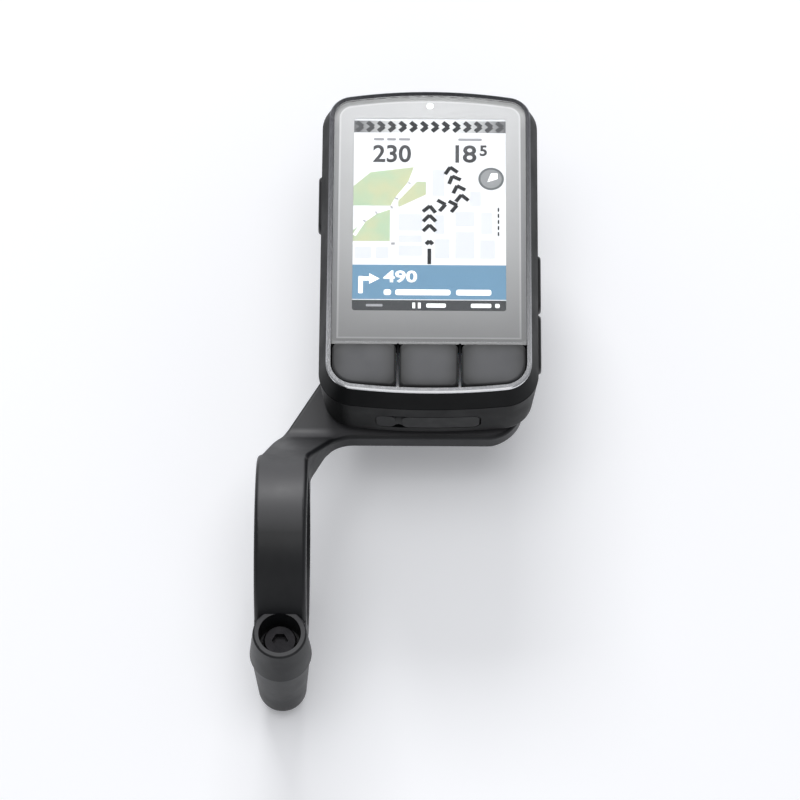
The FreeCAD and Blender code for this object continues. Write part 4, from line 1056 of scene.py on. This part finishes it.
tongue = block((TONGUE_X, TONGUE_Y, TONGUE_Z), (0.0064, 0.0056, 0.0007), 0.0002, 2)
complete(tongue, "socket_tongue", chip_black, "head_unit", smooth=40)
strips = [
    block(
        (TONGUE_X + (i - 2.5) * STRIP_STEP, STRIP_Y, TONGUE_Z + side * STRIP_RISE),
        (0.0005, 0.0042, 0.00006),
        0.00002,
        1,
    )
    for side in (-1, 1)
    for i in range(6)
]
contacts = join(strips, "socket_contacts")
complete(contacts, "socket_contacts", brass_insert, "head_unit")

# %% [markdown]
# ## Floor, light and camera
# A plain pale floor and a pale room keep the object readable. A large soft light overhead draws the
# highlight on the clamp band and the keys. One ahead of the handlebar lights the slope of the arm,
# and a wide low one on the rider's side picks out the bright ring.

# %% Floor
FLOOR_SIZE, FLOOR_GAP = 12, 0.0004
nothing_selected()
bpy.ops.mesh.primitive_plane_add(size=FLOOR_SIZE, location=(0, 0, cad_box[0].z - FLOOR_GAP))
floor = bpy.context.object
floor.name = "floor"
floor_paint = new_finish(
    "floor_paint", Roughness=0.9, Specular_IOR_Level=0.1, Emission_Strength=0.17
)
floor_shader = floor_paint.node_tree.nodes["Principled BSDF"]
floor_shader.inputs["Emission Color"].default_value = colour("fafbfd")
wash = shades(floor_paint, speckle(floor_paint, 400.0, 2.0), (0.3, "f5f6f9"), (0.7, "f8f9fc"))
feed(floor_paint, "Base Color", wash)
floor.data.materials.append(floor_paint)
print("floor height:", round(floor.location.z, 4))

# %% Room and lamps
room = bpy.data.worlds.new("room")
bpy.context.scene.world = room
room.use_nodes = True
background = room.node_tree.nodes["Background"]
background.inputs["Color"].default_value = colour("fafbff")
background.inputs["Strength"].default_value = 0.30


def lamp(name, place_at, aim, size, power):
    """A flat lamp turned to its aim; size in metres, power in watts."""
    nothing_selected()
    bpy.ops.object.light_add(type="AREA", location=place_at)
    light = bpy.context.object
    light.name = name
    light.data.shape = "RECTANGLE"
    light.data.size, light.data.size_y = size
    light.data.energy = power
    light.rotation_euler = (Vector(aim) - Vector(place_at)).to_track_quat("-Z", "Y").to_euler()


lamp("lamp_overhead", (0.0, -0.02, 1.45), (0.03, 0.03, 0.0), (1.1, 0.9), 7.9)
lamp("lamp_ahead", (-0.1, 0.95, 0.75), (0.03, 0.05, 0.0), (0.6, 0.35), 6.0)
lamp("lamp_rider", (0.03, -1.0, 0.52), (0.03, 0.03, 0.0), (1.2, 0.5), 1.2)

# %% Camera
# The rider's eye, where it looks, and a lens in millimetres that fills the picture.
EYE = (0.0281, -0.415, 0.901)
LOOKED_AT = (0.0249, 0.0289, 0.015)
LENS = 208.7
bpy.ops.object.camera_add(location=EYE)
camera = bpy.context.object
camera.name = "rider_view"
camera.data.lens = LENS
camera.data.clip_start = 0.01
line_of_sight = Vector(LOOKED_AT) - camera.location
camera.rotation_euler = line_of_sight.to_track_quat("-Z", "Y").to_euler()
bpy.context.scene.camera = camera
bpy.context.scene.view_settings.view_transform = "Standard"
print("camera looks down by", round(90 - math.degrees(camera.rotation_euler.x), 1), "degrees")
